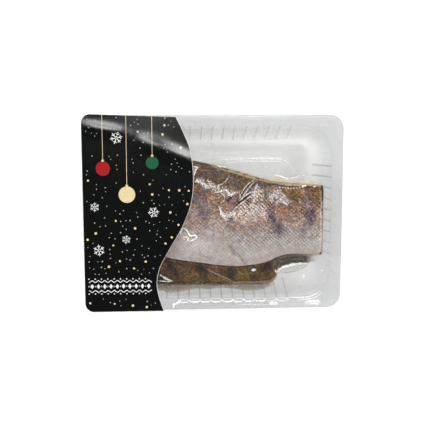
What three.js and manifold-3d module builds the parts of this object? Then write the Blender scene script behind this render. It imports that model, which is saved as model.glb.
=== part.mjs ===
// A retail pack of two zander fillets: a clear ribbed tray, the fillets with their skin up, a thin film
// drawn down over them and sealed to the tray's rim, and a printed card over the left part of the rim.
// Millimetres. The tray stands on z = 0 and is centred on the origin, +X runs along its length.

import * as THREE from "three";
import { mergeVertices } from "three/addons/utils/BufferGeometryUtils.js";
import Module from "manifold-3d";

const wasm = await Module();
wasm.setup();

// Tray
const TRAY_LENGTH = 190;
const TRAY_WIDTH = 144;
const RIM_HEIGHT = 25;
const TRAY_SHEET = 0.7;
const LIP_DEPTH = 1.5;
const FLANGE_WIDTH = 8.2;
const STEP_DEPTH = 1;
const STEP_SLOPE = 0.5;
const LEDGE_WIDTH = 1.5;
const WALL_FOOT_INSET = 20;
const WALL_FOOT_HEIGHT = 3.4;
const FOOT_SLOPE = 1.8;
const PLATFORM_INSET = 33;
const PLATFORM_SLOPE = 1.3;
const PLATFORM_HEIGHT = 2.5;
const OUTER_CORNER = 10.5;
const WALL_CORNER = 20.5;
const FLOOR_CORNER = 10;
const PLATFORM_CORNER = 8;

// Grooves pressed outward into the four walls
const GROOVE_PITCH = 8.14;
const GROOVES_EACH_WAY_LONG = 7;
const GROOVES_EACH_WAY_SHORT = 4;
const GROOVE_WIDTH = 2.4;
const GROOVE_DEPTH = 1;
const GROOVE_TOP = 23.2;
const GROOVE_BOTTOM = 3.8;

// Film and card
const GAP = 0.3;
const FILM_SHEET = 0.3;
const FILM_STEEPEST = 2.3;
const FILM_INSETS = [0, 8.6, 10.8, 15.4, 20, 25, 29.5, 34, 40, 46, 52, 58, 64, 70];
const FILM_OVER_TRAY = { plateau: 0.7, slope: FILM_STEEPEST, reach: 4.2, rings: 6 };
const FILM_OVER_FILLETS = { plateau: 4.8, slope: FILM_STEEPEST, reach: 9.6, rings: 6 };
const BRIDGING_PASSES = 3;
const CARD_SHEET = 0.5;
const CARD_LEFT = -94.9;
const CARD_FRONT = -72.3;
const CARD_BACK = 73;
const CARD_CORNER = 6.5;
const CARD_DOME = 1.4;

// Fillets
const FILLET_ROUND = 3.2;
const FILLET_ROLL = 1.3;
const UNDERSIDE_ROLL = 1.2;
const THINNEST = 1.6;
const SAG_OVER_LOWER = { plateau: 4, slope: 0.55, reach: 24, rings: 8 };
const LEANING_LENGTH = 22;
const LEANING_THICKNESS = 8;
const RIPPLE = 0.35;

const FLOOR_HEIGHT = TRAY_SHEET;
const PLATFORM_TOP = FLOOR_HEIGHT + PLATFORM_HEIGHT;
const WALL_TOP_INSET = FLANGE_WIDTH + STEP_SLOPE + LEDGE_WIDTH;
const WALL_TOP_HEIGHT = RIM_HEIGHT - STEP_DEPTH;
const WALL_RUN = WALL_FOOT_INSET - WALL_TOP_INSET;
const WALL_DROP = WALL_TOP_HEIGHT - WALL_FOOT_HEIGHT;
const WALL_LEAN = WALL_RUN / WALL_DROP;

// The upper face of the tray from the lip to the platform: inset from the outline, height, corner radius.
const TRAY_PROFILE = [
  [0, RIM_HEIGHT - LIP_DEPTH, OUTER_CORNER],
  [0, RIM_HEIGHT, OUTER_CORNER],
  [FLANGE_WIDTH, RIM_HEIGHT, WALL_CORNER + 1],
  [FLANGE_WIDTH + STEP_SLOPE, WALL_TOP_HEIGHT, WALL_CORNER + 0.5],
  [WALL_TOP_INSET, WALL_TOP_HEIGHT, WALL_CORNER - 0.5],
  [WALL_FOOT_INSET, WALL_FOOT_HEIGHT, FLOOR_CORNER + 1],
  [WALL_FOOT_INSET + FOOT_SLOPE, FLOOR_HEIGHT, FLOOR_CORNER],
  [PLATFORM_INSET, FLOOR_HEIGHT, PLATFORM_CORNER + PLATFORM_SLOPE],
  [PLATFORM_INSET + PLATFORM_SLOPE, PLATFORM_TOP, PLATFORM_CORNER],
];

/** A smooth curve through points [x, y] with x rising, as a function of x. */
function curveThrough(points) {
  const slopes = points.map((point, i) => {
    const before = points[Math.max(i - 1, 0)];
    const after = points[Math.min(i + 1, points.length - 1)];
    return (after[1] - before[1]) / (after[0] - before[0]);
  });
  return (x) => {
    let i = 0;
    while (i < points.length - 2 && x > points[i + 1][0]) {
      i += 1;
    }
    const span = points[i + 1][0] - points[i][0];
    const t = THREE.MathUtils.clamp((x - points[i][0]) / span, 0, 1);
    const start = (1 + 2 * t) * (1 - t) ** 2 * points[i][1] + t * (1 - t) ** 2 * span * slopes[i];
    const end = t * t * (3 - 2 * t) * points[i + 1][1] - t * t * (1 - t) * span * slopes[i + 1];
    return start + end;
  };
}

/** A quarter circle's height: 0 at the edge and 1 from a distance of the radius inward. */
function quarterRound(distance, radius) {
  const short = 1 - THREE.MathUtils.clamp(distance / radius, 0, 1);
  return Math.sqrt(1 - short * short);
}

/**
 * Closes a row of rings into one solid. Point k of a ring faces point N - 1 - k across it. A folded row goes
 * out along one face of a sheet and back along the other, and both faces are split into triangles alike.
 */
function closedLoft(rings, { folded = false } = {}) {
  const count = rings[0].length;
  const positions = rings.flat().flatMap((point) => [point.x, point.y, point.z]);
  const faces = [];
  for (let i = 0; i < rings.length - 1; i += 1) {
    const outward = folded && i < rings.length / 2;
    for (let k = 0; k < count; k += 1) {
      const a = i * count + k;
      const b = i * count + ((k + 1) % count);
      if (outward) {
        faces.push(a, b, a + count, b, b + count, a + count);
      } else {
        faces.push(a, b, b + count, a, b + count, a + count);
      }
    }
  }
  const last = (rings.length - 1) * count;
  for (let k = 0; k < count / 2 - 1; k += 1) {
    const across = count - 1 - k;
    faces.push(k, across, k + 1, k + 1, across, across - 1);
    faces.push(last + k, last + k + 1, last + across, last + k + 1, last + across - 1, last + across);
  }
  const geometry = new THREE.BufferGeometry();
  geometry.setAttribute("position", new THREE.Float32BufferAttribute(positions, 3));
  geometry.setIndex(signedVolume(positions, faces) < 0 ? faces.reverse() : faces);
  return geometry;
}

function signedVolume(positions, faces) {
  const corner = (index) => new THREE.Vector3().fromArray(positions, 3 * index);
  let volume = 0;
  for (let f = 0; f < faces.length; f += 3) {
    volume += corner(faces[f]).dot(corner(faces[f + 1]).cross(corner(faces[f + 2]))) / 6;
  }
  return volume;
}

/** The points of a rounded rectangle, anticlockwise from above the middle of its right side. */
function roundedRectangle(inset, radius, height, { alongLength, alongWidth, perCorner }) {
  const straightX = TRAY_LENGTH / 2 - inset - radius;
  const straightY = TRAY_WIDTH / 2 - inset - radius;
  const corners = [
    { x: straightX, y: straightY, side: 2 * straightX, segments: alongLength },
    { x: -straightX, y: straightY, side: 2 * straightY, segments: alongWidth },
    { x: -straightX, y: -straightY, side: 2 * straightX, segments: alongLength },
    { x: straightX, y: -straightY, side: 2 * straightY, segments: alongWidth },
  ];
  const quarterTurn = Math.PI / 2;
  const points = [];
  corners.forEach(({ x, y, side, segments }, quarter) => {
    for (let i = 0; i <= perCorner; i += 1) {
      const angle = quarterTurn * (quarter + i / perCorner);
      points.push(new THREE.Vector3(x + radius * Math.cos(angle), y + radius * Math.sin(angle), height));
    }
    const corner = points[points.length - 1];
    const heading = quarterTurn * (quarter + 2);
    const onward = new THREE.Vector3(Math.cos(heading), Math.sin(heading), 0);
    for (let i = 1; i < segments; i += 1) {
      points.push(corner.clone().addScaledVector(onward, (side * i) / segments));
    }
  });
  const upperHalf = (alongWidth - 1) / 2;
  return [...points.splice(points.length - upperHalf), ...points];
}

function toManifold(geometry) {
  const bare = geometry.clone();
  bare.deleteAttribute("normal");
  bare.deleteAttribute("uv");
  const merged = mergeVertices(bare, 1e-5);
  const mesh = new wasm.Mesh({
    numProp: 3,
    vertProperties: new Float32Array(merged.attributes.position.array),
    triVerts: new Uint32Array(merged.index.array),
  });
  return new wasm.Manifold(mesh);
}

function fromManifold(solid) {
  const mesh = solid.getMesh();
  const geometry = new THREE.BufferGeometry();
  geometry.setAttribute("position", new THREE.Float32BufferAttribute(mesh.vertProperties, 3));
  geometry.setIndex([...mesh.triVerts]);
  return geometry;
}

/** Moves a profile in its own plane by a distance to its right hand, mitred at its corners. */
function offsetProfile(profile, distance) {
  return profile.map(([inset, height, radius], i) => {
    const normals = [];
    for (const [from, to] of [[i - 1, i], [i, i + 1]]) {
      if (from >= 0 && to < profile.length) {
        const run = profile[to][0] - profile[from][0];
        const rise = profile[to][1] - profile[from][1];
        normals.push(new THREE.Vector2(rise, -run).normalize());
      }
    }
    const mitre = normals[0].clone();
    if (normals.length > 1) {
      mitre.add(normals[1]).divideScalar(1 + normals[0].dot(normals[1]));
    }
    return [inset + mitre.x * distance, height + mitre.y * distance, radius - mitre.x * distance];
  });
}

/** The inset from the tray's outline at a point, found on the profile's own rounded rectangles. */
function insetAt(x, y) {
  let low = 0;
  let high = TRAY_WIDTH / 2;
  for (let step = 0; step < 24; step += 1) {
    const inset = (low + high) / 2;
    const radius = Math.min(profileAt(inset, 2), TRAY_WIDTH / 2 - inset);
    const overX = Math.abs(x) - (TRAY_LENGTH / 2 - inset - radius);
    const overY = Math.abs(y) - (TRAY_WIDTH / 2 - inset - radius);
    const distance = Math.min(Math.max(overX, overY), 0) + Math.hypot(Math.max(overX, 0), Math.max(overY, 0));
    if (distance < radius) {
      low = inset;
    } else {
      high = inset;
    }
  }
  return (low + high) / 2;
}

/** The profile's height (column 1) or corner radius (column 2) at an inset. */
function profileAt(inset, column) {
  for (let i = 1; i < TRAY_PROFILE.length - 1; i += 1) {
    const from = TRAY_PROFILE[i];
    const to = TRAY_PROFILE[i + 1];
    if (inset <= to[0]) {
      return THREE.MathUtils.lerp(from[column], to[column], (inset - from[0]) / (to[0] - from[0]));
    }
  }
  return TRAY_PROFILE[TRAY_PROFILE.length - 1][column];
}

function trayHeight(x, y) {
  return profileAt(insetAt(x, y), 1);
}

/** The height of a cover over a surface: level for the plateau round each point, then falling at a slope. */
function draped(surface, x, y, { plateau, slope, reach, rings }) {
  let height = surface(x, y);
  const directions = 16;
  for (let ring = 1; ring <= rings; ring += 1) {
    const distance = (reach * ring) / rings;
    const fall = slope * Math.max(distance - plateau, 0);
    for (let turn = 0; turn < directions; turn += 1) {
      const angle = ((2 * Math.PI) / directions) * (turn + 0.5 * (ring % 2));
      const near = surface(x + distance * Math.cos(angle), y + distance * Math.sin(angle));
      height = Math.max(height, near - fall);
    }
  }
  return height;
}

// The two fillets. Front is the edge nearer -Y and back the one nearer +Y, and heights are of the skin side.
const LOWER = {
  left: -72,
  right: 49.5,
  leftRound: 16,
  rightRound: 9,
  endDrop: 4,
  endReach: 9,
  crestAt: 0.3,
  lean: 0,
  front: curveThrough([[-72, -54], [-30, -55.4], [15, -55.8], [49.5, -55.4]]),
  back: curveThrough([[-72, -6], [-30, 4], [10, 5], [49.5, -22]]),
  frontHeight: curveThrough([[-72, 14], [0, 15], [49.5, 15.4]]),
  crestHeight: curveThrough([[-72, 14.5], [-20, 17], [25, 17], [49.5, 15.6]]),
  backHeight: curveThrough([[-72, 8.5], [0, 8.5], [49.5, 12]]),
};

const UPPER = {
  left: -74,
  right: 81.6,
  leftRound: 22,
  rightRound: 2.5,
  endDrop: 3,
  endReach: 10,
  crestAt: 0.42,
  lean: WALL_LEAN,
  front: curveThrough([
    [-74, -20], [-39, -33], [-9, -38.8], [17, -41.6], [31, -40.7], [40, -38.6], [49, -35.4], [58, -34.2],
    [73, -34.2], [81.6, -33.4],
  ]),
  back: curveThrough([
    [-74, 40], [-46, 44], [-18, 38.4], [14, 31], [30, 26.2], [43.5, 22.6], [60, 20.6], [81.6, 19.6],
  ]),
  frontHeight: curveThrough([
    [-74, 14.5], [-40, 20.3], [0, 20.8], [34, 20.4], [46, 18.8], [58, 15.2], [68, 14.6], [81.6, 19.5],
  ]),
  crestHeight: curveThrough([
    [-74, 18], [-40, 22.6], [0, 23], [36, 21.8], [60, 18.2], [72, 18.4], [81.6, 20.6],
  ]),
  backHeight: curveThrough([[-74, 11], [-20, 12.4], [40, 12], [66, 14], [81.6, 20.4]]),
};

/** How far a point lies inside a fillet's outline, from its sides and from its round ends. */
function filletEdges(fillet, x) {
  const fromLeft = x - fillet.left;
  const fromRight = fillet.right - x;
  const cornerLeft = fillet.leftRound * (1 - quarterRound(fromLeft, fillet.leftRound));
  const cornerRight = fillet.rightRound * (1 - quarterRound(fromRight, fillet.rightRound));
  const corner = Math.max(cornerLeft, cornerRight);
  const cut = fillet.lean > 0;
  return {
    front: fillet.front(x) + corner,
    back: fillet.back(x) - corner,
    end: cut ? fromLeft : Math.min(fromLeft, fromRight),
  };
}

/** The height of a fillet's skin side, or -1 outside its outline. */
function skinHeight(fillet, x, y) {
  if (x < fillet.left || x > fillet.right) {
    return -1;
  }
  const edges = filletEdges(fillet, x);
  if (y < edges.front || y > edges.back) {
    return -1;
  }
  return skinHeightAt(fillet, x, y, edges);
}

function skinHeightAt(fillet, x, y, edges) {
  const across = (y - edges.front) / (edges.back - edges.front);
  const crest = fillet.crestHeight(x);
  const quarter = Math.PI / 2;
  let height;
  if (across < fillet.crestAt) {
    const front = fillet.frontHeight(x);
    height = front + (crest - front) * Math.sin((quarter * across) / fillet.crestAt);
  } else {
    const back = fillet.backHeight(x);
    height = back + (crest - back) * Math.cos((quarter * (across - fillet.crestAt)) / (1 - fillet.crestAt));
  }
  const side = Math.min(y - edges.front, edges.back - y);
  const roll = FILLET_ROLL * (1 - quarterRound(side, FILLET_ROUND));
  const end = fillet.endDrop * (1 - quarterRound(edges.end, fillet.endReach));
  return height - roll - end + RIPPLE * Math.sin(0.19 * x + 0.33 * y);
}

/** What the lower fillet lies on: the tray's platform and walls. */
function bedOfLower(x, y) {
  return Math.max(PLATFORM_TOP, trayHeight(x, y) + GAP) + GAP;
}

/** What the upper fillet lies on: the same, and the lower fillet's skin, over whose edge it sags. */
function bedOfUpper(x, y) {
  const lower = (nearX, nearY) => skinHeight(LOWER, nearX, nearY);
  return Math.max(bedOfLower(x, y), draped(lower, x, y, SAG_OVER_LOWER) + GAP);
}

/** One fillet, from sections across it. Its underside is shorter where it leans on the tray's wall. */
function filletGeometry(fillet, bed, sections, steps) {
  const rings = [];
  for (let i = 0; i <= sections; i += 1) {
    const along = 0.5 - 0.5 * Math.cos((Math.PI * i) / sections);
    const x = THREE.MathUtils.lerp(fillet.left + GAP, fillet.right - (fillet.lean > 0 ? 0 : GAP), along);
    const edges = filletEdges(fillet, x);
    const leaning = THREE.MathUtils.smoothstep(x, fillet.right - LEANING_LENGTH, fillet.right);
    const underX = x - fillet.lean * leaning * LEANING_THICKNESS;
    const top = [];
    const bottom = [];
    for (let j = 0; j <= steps; j += 1) {
      const across = 0.5 - 0.5 * Math.cos((Math.PI * j) / steps);
      const y = THREE.MathUtils.lerp(edges.front, edges.back, across);
      const skin = skinHeightAt(fillet, x, y, edges);
      const side = Math.min(y - edges.front, edges.back - y, edges.end);
      const roll = UNDERSIDE_ROLL * (1 - quarterRound(side, FILLET_ROUND));
      const flesh = Math.min(bed(underX, y) + roll, skin - THINNEST);
      top.push(new THREE.Vector3(x, y, skin));
      bottom.push(new THREE.Vector3(underX, y, flesh));
    }
    rings.push([...top, ...bottom.reverse()]);
  }
  return closedLoft(rings);
}

/** The tray's shell from its sheet's upper and lower faces, with grooves pressed outward. */
function trayGeometry() {
  const upper = TRAY_PROFILE;
  const lower = offsetProfile(TRAY_PROFILE, TRAY_SHEET);
  const rows = [...upper.slice().reverse(), ...lower];
  const outline = { alongLength: 1, alongWidth: 1, perCorner: 6 };
  const rings = rows.map(([inset, height, radius]) => roundedRectangle(inset, radius, height, outline));
  let shell = toManifold(closedLoft(rings, { folded: true }));
  const outward = TRAY_SHEET + GROOVE_DEPTH;
  for (const frame of grooveFrames()) {
    shell = shell.add(groovePrism(frame, 0.1, outward, TRAY_SHEET));
  }
  for (const frame of grooveFrames()) {
    shell = shell.subtract(groovePrism(frame, -GROOVE_DEPTH, GROOVE_DEPTH, 0));
  }
  return fromManifold(shell);
}

/** Where each groove is: the turn that takes +X to the wall's outward direction, and its place along it. */
function grooveFrames() {
  const frames = [];
  for (const turn of [0, 1, 2, 3]) {
    const short = turn % 2 === 0;
    const eachWay = short ? GROOVES_EACH_WAY_SHORT : GROOVES_EACH_WAY_LONG;
    const reach = (short ? TRAY_LENGTH : TRAY_WIDTH) / 2;
    for (let k = -eachWay; k <= eachWay; k += 1) {
      frames.push({ angle: (turn * Math.PI) / 2, along: k * GROOVE_PITCH, reach });
    }
  }
  return frames;
}

/** A slanted bar along the wall between two offsets from its inner face, widened and lengthened by extra. */
function groovePrism({ angle, along, reach }, inner, outer, extra) {
  const slant = Math.hypot(1, WALL_LEAN);
  const wallAt = (height, offset) => {
    const inset = WALL_FOOT_INSET - (height - WALL_FOOT_HEIGHT) * WALL_LEAN;
    return reach - inset + offset * slant;
  };
  const low = GROOVE_BOTTOM - extra;
  const high = GROOVE_TOP + extra;
  const side = new THREE.Shape([
    new THREE.Vector2(wallAt(low, inner), low),
    new THREE.Vector2(wallAt(low, outer), low),
    new THREE.Vector2(wallAt(high, outer), high),
    new THREE.Vector2(wallAt(high, inner), high),
  ]);
  const width = GROOVE_WIDTH + 2 * extra;
  const bar = new THREE.ExtrudeGeometry(side, { depth: width, bevelEnabled: false });
  bar.translate(0, 0, -width / 2);
  bar.rotateX(Math.PI / 2);
  bar.translate(0, along, 0);
  bar.rotateZ(angle);
  return toManifold(bar);
}

/** Lifts each point that lies below the middle of its neighbours, as a stretched film bridges dips. */
function bridgeDips(rings, passes) {
  const count = rings[0].length;
  for (let pass = 0; pass < passes; pass += 1) {
    const before = rings.map((ring) => ring.map((point) => point.z));
    for (let i = 1; i < rings.length - 1; i += 1) {
      for (let k = 0; k < count; k += 1) {
        const beside = before[i][(k + 1) % count] + before[i][(k + count - 1) % count];
        const across = before[i - 1][k] + before[i + 1][k];
        rings[i][k].z = Math.max(before[i][k], (beside + across) / 4);
      }
    }
  }
}

/** The film: level on the flange, then drawn down over the walls, the floor and both fillets. */
function filmGeometry() {
  const outline = { alongLength: 15, alongWidth: 11, perCorner: 4 };
  const fillets = (x, y) => Math.max(skinHeight(LOWER, x, y), skinHeight(UPPER, x, y));
  const under = FILM_INSETS.map((inset) => {
    const halfWidth = TRAY_WIDTH / 2 - inset;
    const radius = Math.min(profileAt(inset, 2), 0.6 * halfWidth);
    const ring = roundedRectangle(inset, radius, 0, outline);
    for (const point of ring) {
      const overTray = draped(trayHeight, point.x, point.y, FILM_OVER_TRAY);
      const overFillets = draped(fillets, point.x, point.y, FILM_OVER_FILLETS);
      point.z = GAP + (inset < WALL_TOP_INSET ? RIM_HEIGHT : Math.max(overTray, overFillets));
    }
    return ring;
  });
  bridgeDips(under, BRIDGING_PASSES);
  const over = under.map((ring) => ring.map((point) => point.clone().setZ(point.z + FILM_SHEET)));
  return closedLoft([...over.reverse(), ...under], { folded: true });
}

/** The card: a thin sheet with two round corners, a waved free edge and a slight dome. */
function cardGeometry() {
  const wave = curveThrough([
    [-72.3, -37], [-60, -40.8], [-50, -41.9], [-38.8, -39.4], [-24.7, -31.9], [-8.4, -22.6],
    [8.6, -16.4], [26, -14.7], [46.5, -16.8], [63.8, -22.8], [73, -27],
  ]);
  const bottomHeight = RIM_HEIGHT + 2 * GAP + FILM_SHEET;
  const rows = 22;
  const columns = 6;
  const rings = [];
  for (let i = 0; i <= rows; i += 1) {
    const along = 0.5 - 0.5 * Math.cos((Math.PI * i) / rows);
    const y = THREE.MathUtils.lerp(CARD_FRONT, CARD_BACK, along);
    const fromEnd = Math.max(Math.min(y - CARD_FRONT, CARD_BACK - y), 0.05);
    const left = CARD_LEFT + CARD_CORNER * (1 - quarterRound(fromEnd, CARD_CORNER));
    const right = wave(y);
    const top = [];
    const bottom = [];
    for (let j = 0; j <= columns; j += 1) {
      const x = THREE.MathUtils.lerp(left, right, j / columns);
      const overCavity = Math.max(1 - (y / (TRAY_WIDTH / 2)) ** 2, 0);
      const fromFlange = THREE.MathUtils.smoothstep(x, CARD_LEFT, CARD_LEFT + 60);
      const height = bottomHeight + CARD_DOME * overCavity * fromFlange;
      top.push(new THREE.Vector3(x, y, height + CARD_SHEET));
      bottom.push(new THREE.Vector3(x, y, height));
    }
    rings.push([...top, ...bottom.reverse()]);
  }
  return closedLoft(rings);
}

function named(name, geometry, look) {
  const mesh = new THREE.Mesh(geometry, new THREE.MeshStandardMaterial(look));
  mesh.name = name;
  return mesh;
}

const pack = new THREE.Group();
const clear = { metalness: 0, transparent: true };
pack.add(
  named("tray", trayGeometry(), { ...clear, color: 0xdfe3e6, roughness: 0.15, opacity: 0.4 }),
  named("fillet_lower", filletGeometry(LOWER, bedOfLower, 22, 14), { color: 0x6f6047, roughness: 0.35 }),
  named("fillet_upper", filletGeometry(UPPER, bedOfUpper, 26, 16), { color: 0x8f7a6c, roughness: 0.35 }),
  named("film", filmGeometry(), { ...clear, color: 0xf2f4f5, roughness: 0.08, opacity: 0.2 }),
  named("card", cardGeometry(), { color: 0x141414, roughness: 0.2, metalness: 0 }),
);

export default pack;
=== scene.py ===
"""The looks of a retail pack of two zander fillets: a clear ribbed tray, the fillets with their skin up,
the film drawn down over them with painted highlights and painted shade on it, the juice it holds in,
which is partly painted shadow, and the printed card over the left part of the rim.

Lengths are millimetres in the frame's own axes, and a mesh turns them into metres as it is made.
"""
import math

import bpy
import numpy as np
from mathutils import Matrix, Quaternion, Vector


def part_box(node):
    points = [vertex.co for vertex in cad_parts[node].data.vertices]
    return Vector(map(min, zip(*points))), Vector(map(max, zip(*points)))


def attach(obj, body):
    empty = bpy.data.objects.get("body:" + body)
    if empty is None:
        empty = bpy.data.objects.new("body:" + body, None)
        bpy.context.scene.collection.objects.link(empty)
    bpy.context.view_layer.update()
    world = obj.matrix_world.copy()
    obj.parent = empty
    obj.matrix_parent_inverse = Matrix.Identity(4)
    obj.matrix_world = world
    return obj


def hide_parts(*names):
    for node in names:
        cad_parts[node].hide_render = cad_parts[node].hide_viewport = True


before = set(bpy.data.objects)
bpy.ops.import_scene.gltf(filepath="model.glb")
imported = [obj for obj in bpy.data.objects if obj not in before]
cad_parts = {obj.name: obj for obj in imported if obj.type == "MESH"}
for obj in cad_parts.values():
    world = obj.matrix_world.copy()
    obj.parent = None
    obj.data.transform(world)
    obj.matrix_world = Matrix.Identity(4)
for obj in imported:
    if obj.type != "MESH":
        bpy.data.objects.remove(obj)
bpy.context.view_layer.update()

MM = 0.001
BODY = "root"

# Tray, as wide and high as its solid. Insets are from its outline inward.
TRAY_LOW, TRAY_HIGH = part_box("tray")
HALF_LENGTH = (TRAY_HIGH.x - TRAY_LOW.x) / MM / 2
HALF_WIDTH = (TRAY_HIGH.y - TRAY_LOW.y) / MM / 2
RIM_HEIGHT = TRAY_HIGH.z / MM
TRAY_SHEET = 0.7
FLANGE_WIDTH = 8.2
LEDGE_INSET = FLANGE_WIDTH + 0.5
LEDGE_HEIGHT = RIM_HEIGHT - 1
WALL_TOP_INSET = LEDGE_INSET + 1.5
WALL_FOOT_INSET = 20
WALL_FOOT_HEIGHT = 3.4
PLATFORM_INSET = 34.3
PLATFORM_TOP = 3.2
WALL_CORNER = 20
WALL_LEAN = (WALL_FOOT_INSET - WALL_TOP_INSET) / (LEDGE_HEIGHT - WALL_FOOT_HEIGHT)

# Half the straight part of the long and of the short walls
STRAIGHT_X = HALF_LENGTH - WALL_TOP_INSET - WALL_CORNER
STRAIGHT_Y = HALF_WIDTH - WALL_TOP_INSET - WALL_CORNER

# The upper face from the lip to the platform: inset, height, corner radius, rounding
HEIGHT, RADIUS = 1, 2
TRAY_PROFILE = [
    (0, RIM_HEIGHT - 1.5, 10.5, 0),
    (0, RIM_HEIGHT, 10.5, 0.7),
    (FLANGE_WIDTH, RIM_HEIGHT, 21.5, 0.4),
    (LEDGE_INSET, LEDGE_HEIGHT, 21, 0.35),
    (WALL_TOP_INSET, LEDGE_HEIGHT, WALL_CORNER, 0.6),
    (WALL_FOOT_INSET, WALL_FOOT_HEIGHT, 11, 1.2),
    (21.8, TRAY_SHEET, 10, 1.2),
    (33, TRAY_SHEET, 9.3, 0.6),
    (PLATFORM_INSET, PLATFORM_TOP, 8, 0.8),
    (40, PLATFORM_TOP, 5, 0),
]
LONGEST_STRETCH = 2.6
ROUNDING_STEPS = 3
INSET_HALVINGS = 20
TRAY_CORNER_POINTS = 22

# Grooves pressed outward into the four walls
GROOVE_PITCH = 8.14
GROOVES_LONG = 7
GROOVES_SHORT = 4
GROOVE_DEPTH = 1.1
GROOVE_FLAT = 0.75
GROOVE_HALF = 1.45
GROOVE_FOOT = 3.7
GROOVE_FADE = 2.0
GROOVE_STATIONS = (0.4, 0.75, 1.1, 1.45, 3.0)
LEDGE_CLEARANCE = 0.05
# The grey painted shade line on each groove: its offset, its half width, its strength on long and short walls
GROOVE_LINE_OFF = 0.6
GROOVE_LINE_HALF = 0.5
LONG_WALL_LINES = 0.42
SHORT_WALL_LINES = 0.5

# How far the grooves of the front and of the right wall lie off its middle
FRONT_GROOVES_AT = -1.6
RIGHT_GROOVES_AT = 1.7

# Raster on which the film is draped
CELL = 0.5
RASTER_MARGIN = 2

# What the film adds to a colour seen through it, and the darkest that a surface is made
VEIL = 0.012
DARKEST, PALEST = 0.002, 0.95


LATTICE = 64
PATCH_CORE, PATCH_END = 0.25, 1.25


def linear(red, green, blue):
    """A colour as the eye reads it, 0 to 255, as the linear colour that a shader takes."""
    parts = [c / 255 for c in (red, green, blue)]
    return tuple(c / 12.92 if c <= 0.04045 else ((c + 0.055) / 1.055) ** 2.4 for c in parts) + (1.0,)


def seen(red, green, blue):
    """The colour to give a surface that is to look so, 0 to 255, under the film and in this light."""
    return tuple(min(max(c - VEIL, DARKEST), PALEST) for c in linear(red, green, blue)[:3]) + (1.0,)


def smoothstep(value, low, high):
    t = np.clip((value - low) / (high - low), 0, 1)
    return t * t * (3 - 2 * t)


def bell(off, half):
    """A bell curve's height: 1 in its middle and about a third at its half width."""
    return np.exp(-((off / half) ** 2))


def hump(along, tail):
    """A half wave's height by the share along it, with a tail's share cut off both its ends."""
    return np.sin(math.pi * (tail + (1 - 2 * tail) * along))


def quarter_round(distance, radius):
    """A quarter circle's height: 0 at the edge and 1 from a distance of the radius inward."""
    short = 1 - np.clip(distance / radius, 0, 1)
    return np.sqrt(np.maximum(1 - short * short, 0))


def curve_through(*points):
    """A smooth curve through points (x, y) with x rising, as a function of x."""
    xs, ys = np.array(points, float).T
    index = np.arange(len(xs))
    before = np.maximum(index - 1, 0)
    after = np.minimum(index + 1, len(xs) - 1)
    slopes = (ys[after] - ys[before]) / (xs[after] - xs[before])

    def value(x):
        i = np.clip(np.searchsorted(xs, x) - 1, 0, len(xs) - 2)
        span = xs[i + 1] - xs[i]
        t = np.clip((x - xs[i]) / span, 0, 1)
        start = (1 + 2 * t) * (1 - t) ** 2 * ys[i] + t * (1 - t) ** 2 * span * slopes[i]
        end = t * t * (3 - 2 * t) * ys[i + 1] - t * t * (1 - t) * span * slopes[i + 1]
        return start + end

    return value


def noise(x, y, scale, seed):
    """Smooth random values from -1 to 1, with lumps about as wide as the scale."""
    lattice = np.random.default_rng(seed).uniform(-1, 1, (LATTICE, LATTICE))
    u, v = x / scale, y / scale
    i, j = np.floor(u).astype(int), np.floor(v).astype(int)
    s, t = smoothstep(u - i, 0, 1), smoothstep(v - j, 0, 1)

    def between(row):
        return lattice[i % LATTICE, row % LATTICE] * (1 - s) + lattice[(i + 1) % LATTICE, row % LATTICE] * s

    return between(j) * (1 - t) + between(j + 1) * t


def layered_noise(x, y, *layers):
    """Noise summed over layers, each its height, its scale and its seed."""
    return sum(tall * noise(x, y, scale, seed) for tall, scale, seed in layers)


def line_distance(x, y, points):
    """How far each place is from a line through points, and the share along it of the nearest point."""
    lengths = [math.dist(a, b) for a, b in zip(points, points[1:])]
    nearest = np.full(np.shape(x), np.inf)
    along = np.zeros(np.shape(x))
    passed = 0
    for (ax, ay), (bx, by), length in zip(points, points[1:], lengths):
        t = np.clip(((x - ax) * (bx - ax) + (y - ay) * (by - ay)) / length**2, 0, 1)
        distance = np.hypot(x - ax - t * (bx - ax), y - ay - t * (by - ay))
        closer = distance < nearest
        nearest = np.where(closer, distance, nearest)
        along = np.where(closer, (passed + t * length) / sum(lengths), along)
        passed += length
    return nearest, along


def patch(x, y, spots):
    """Soft ovals, each x, y, half length, half width, turn in degrees and strength. The strongest counts."""
    value = np.zeros(np.shape(x))
    for cx, cy, half_length, half_width, turn, strength in spots:
        c, s = math.cos(math.radians(turn)), math.sin(math.radians(turn))
        u = ((x - cx) * c + (y - cy) * s) / half_length
        v = ((y - cy) * c - (x - cx) * s) / half_width
        value = np.maximum(value, strength * (1 - smoothstep(np.hypot(u, v), PATCH_CORE, PATCH_END)))
    return value


# Fillets. Front is the edge nearer -Y and back the one nearer +Y, and heights are of the skin side.
FILLET_ROUND = 3.2
FILLET_ROLL = 1.3
UNDERSIDE_ROLL = 1.2
THINNEST = 1.6
RIPPLE = 0.35
RIPPLE_X, RIPPLE_Y = 0.19, 0.33
FILLET_GAP = 0.3
SAG_PLATEAU = 4
SAG_SLOPE = 0.55
SAG_REACH = 24
CELLS_PER_PASS = 1.2
LEANING_LENGTH = 22
LEANING_THICKNESS = 8
SECTION_EASE = 0.8
ACROSS_EASE = 0.75

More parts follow.
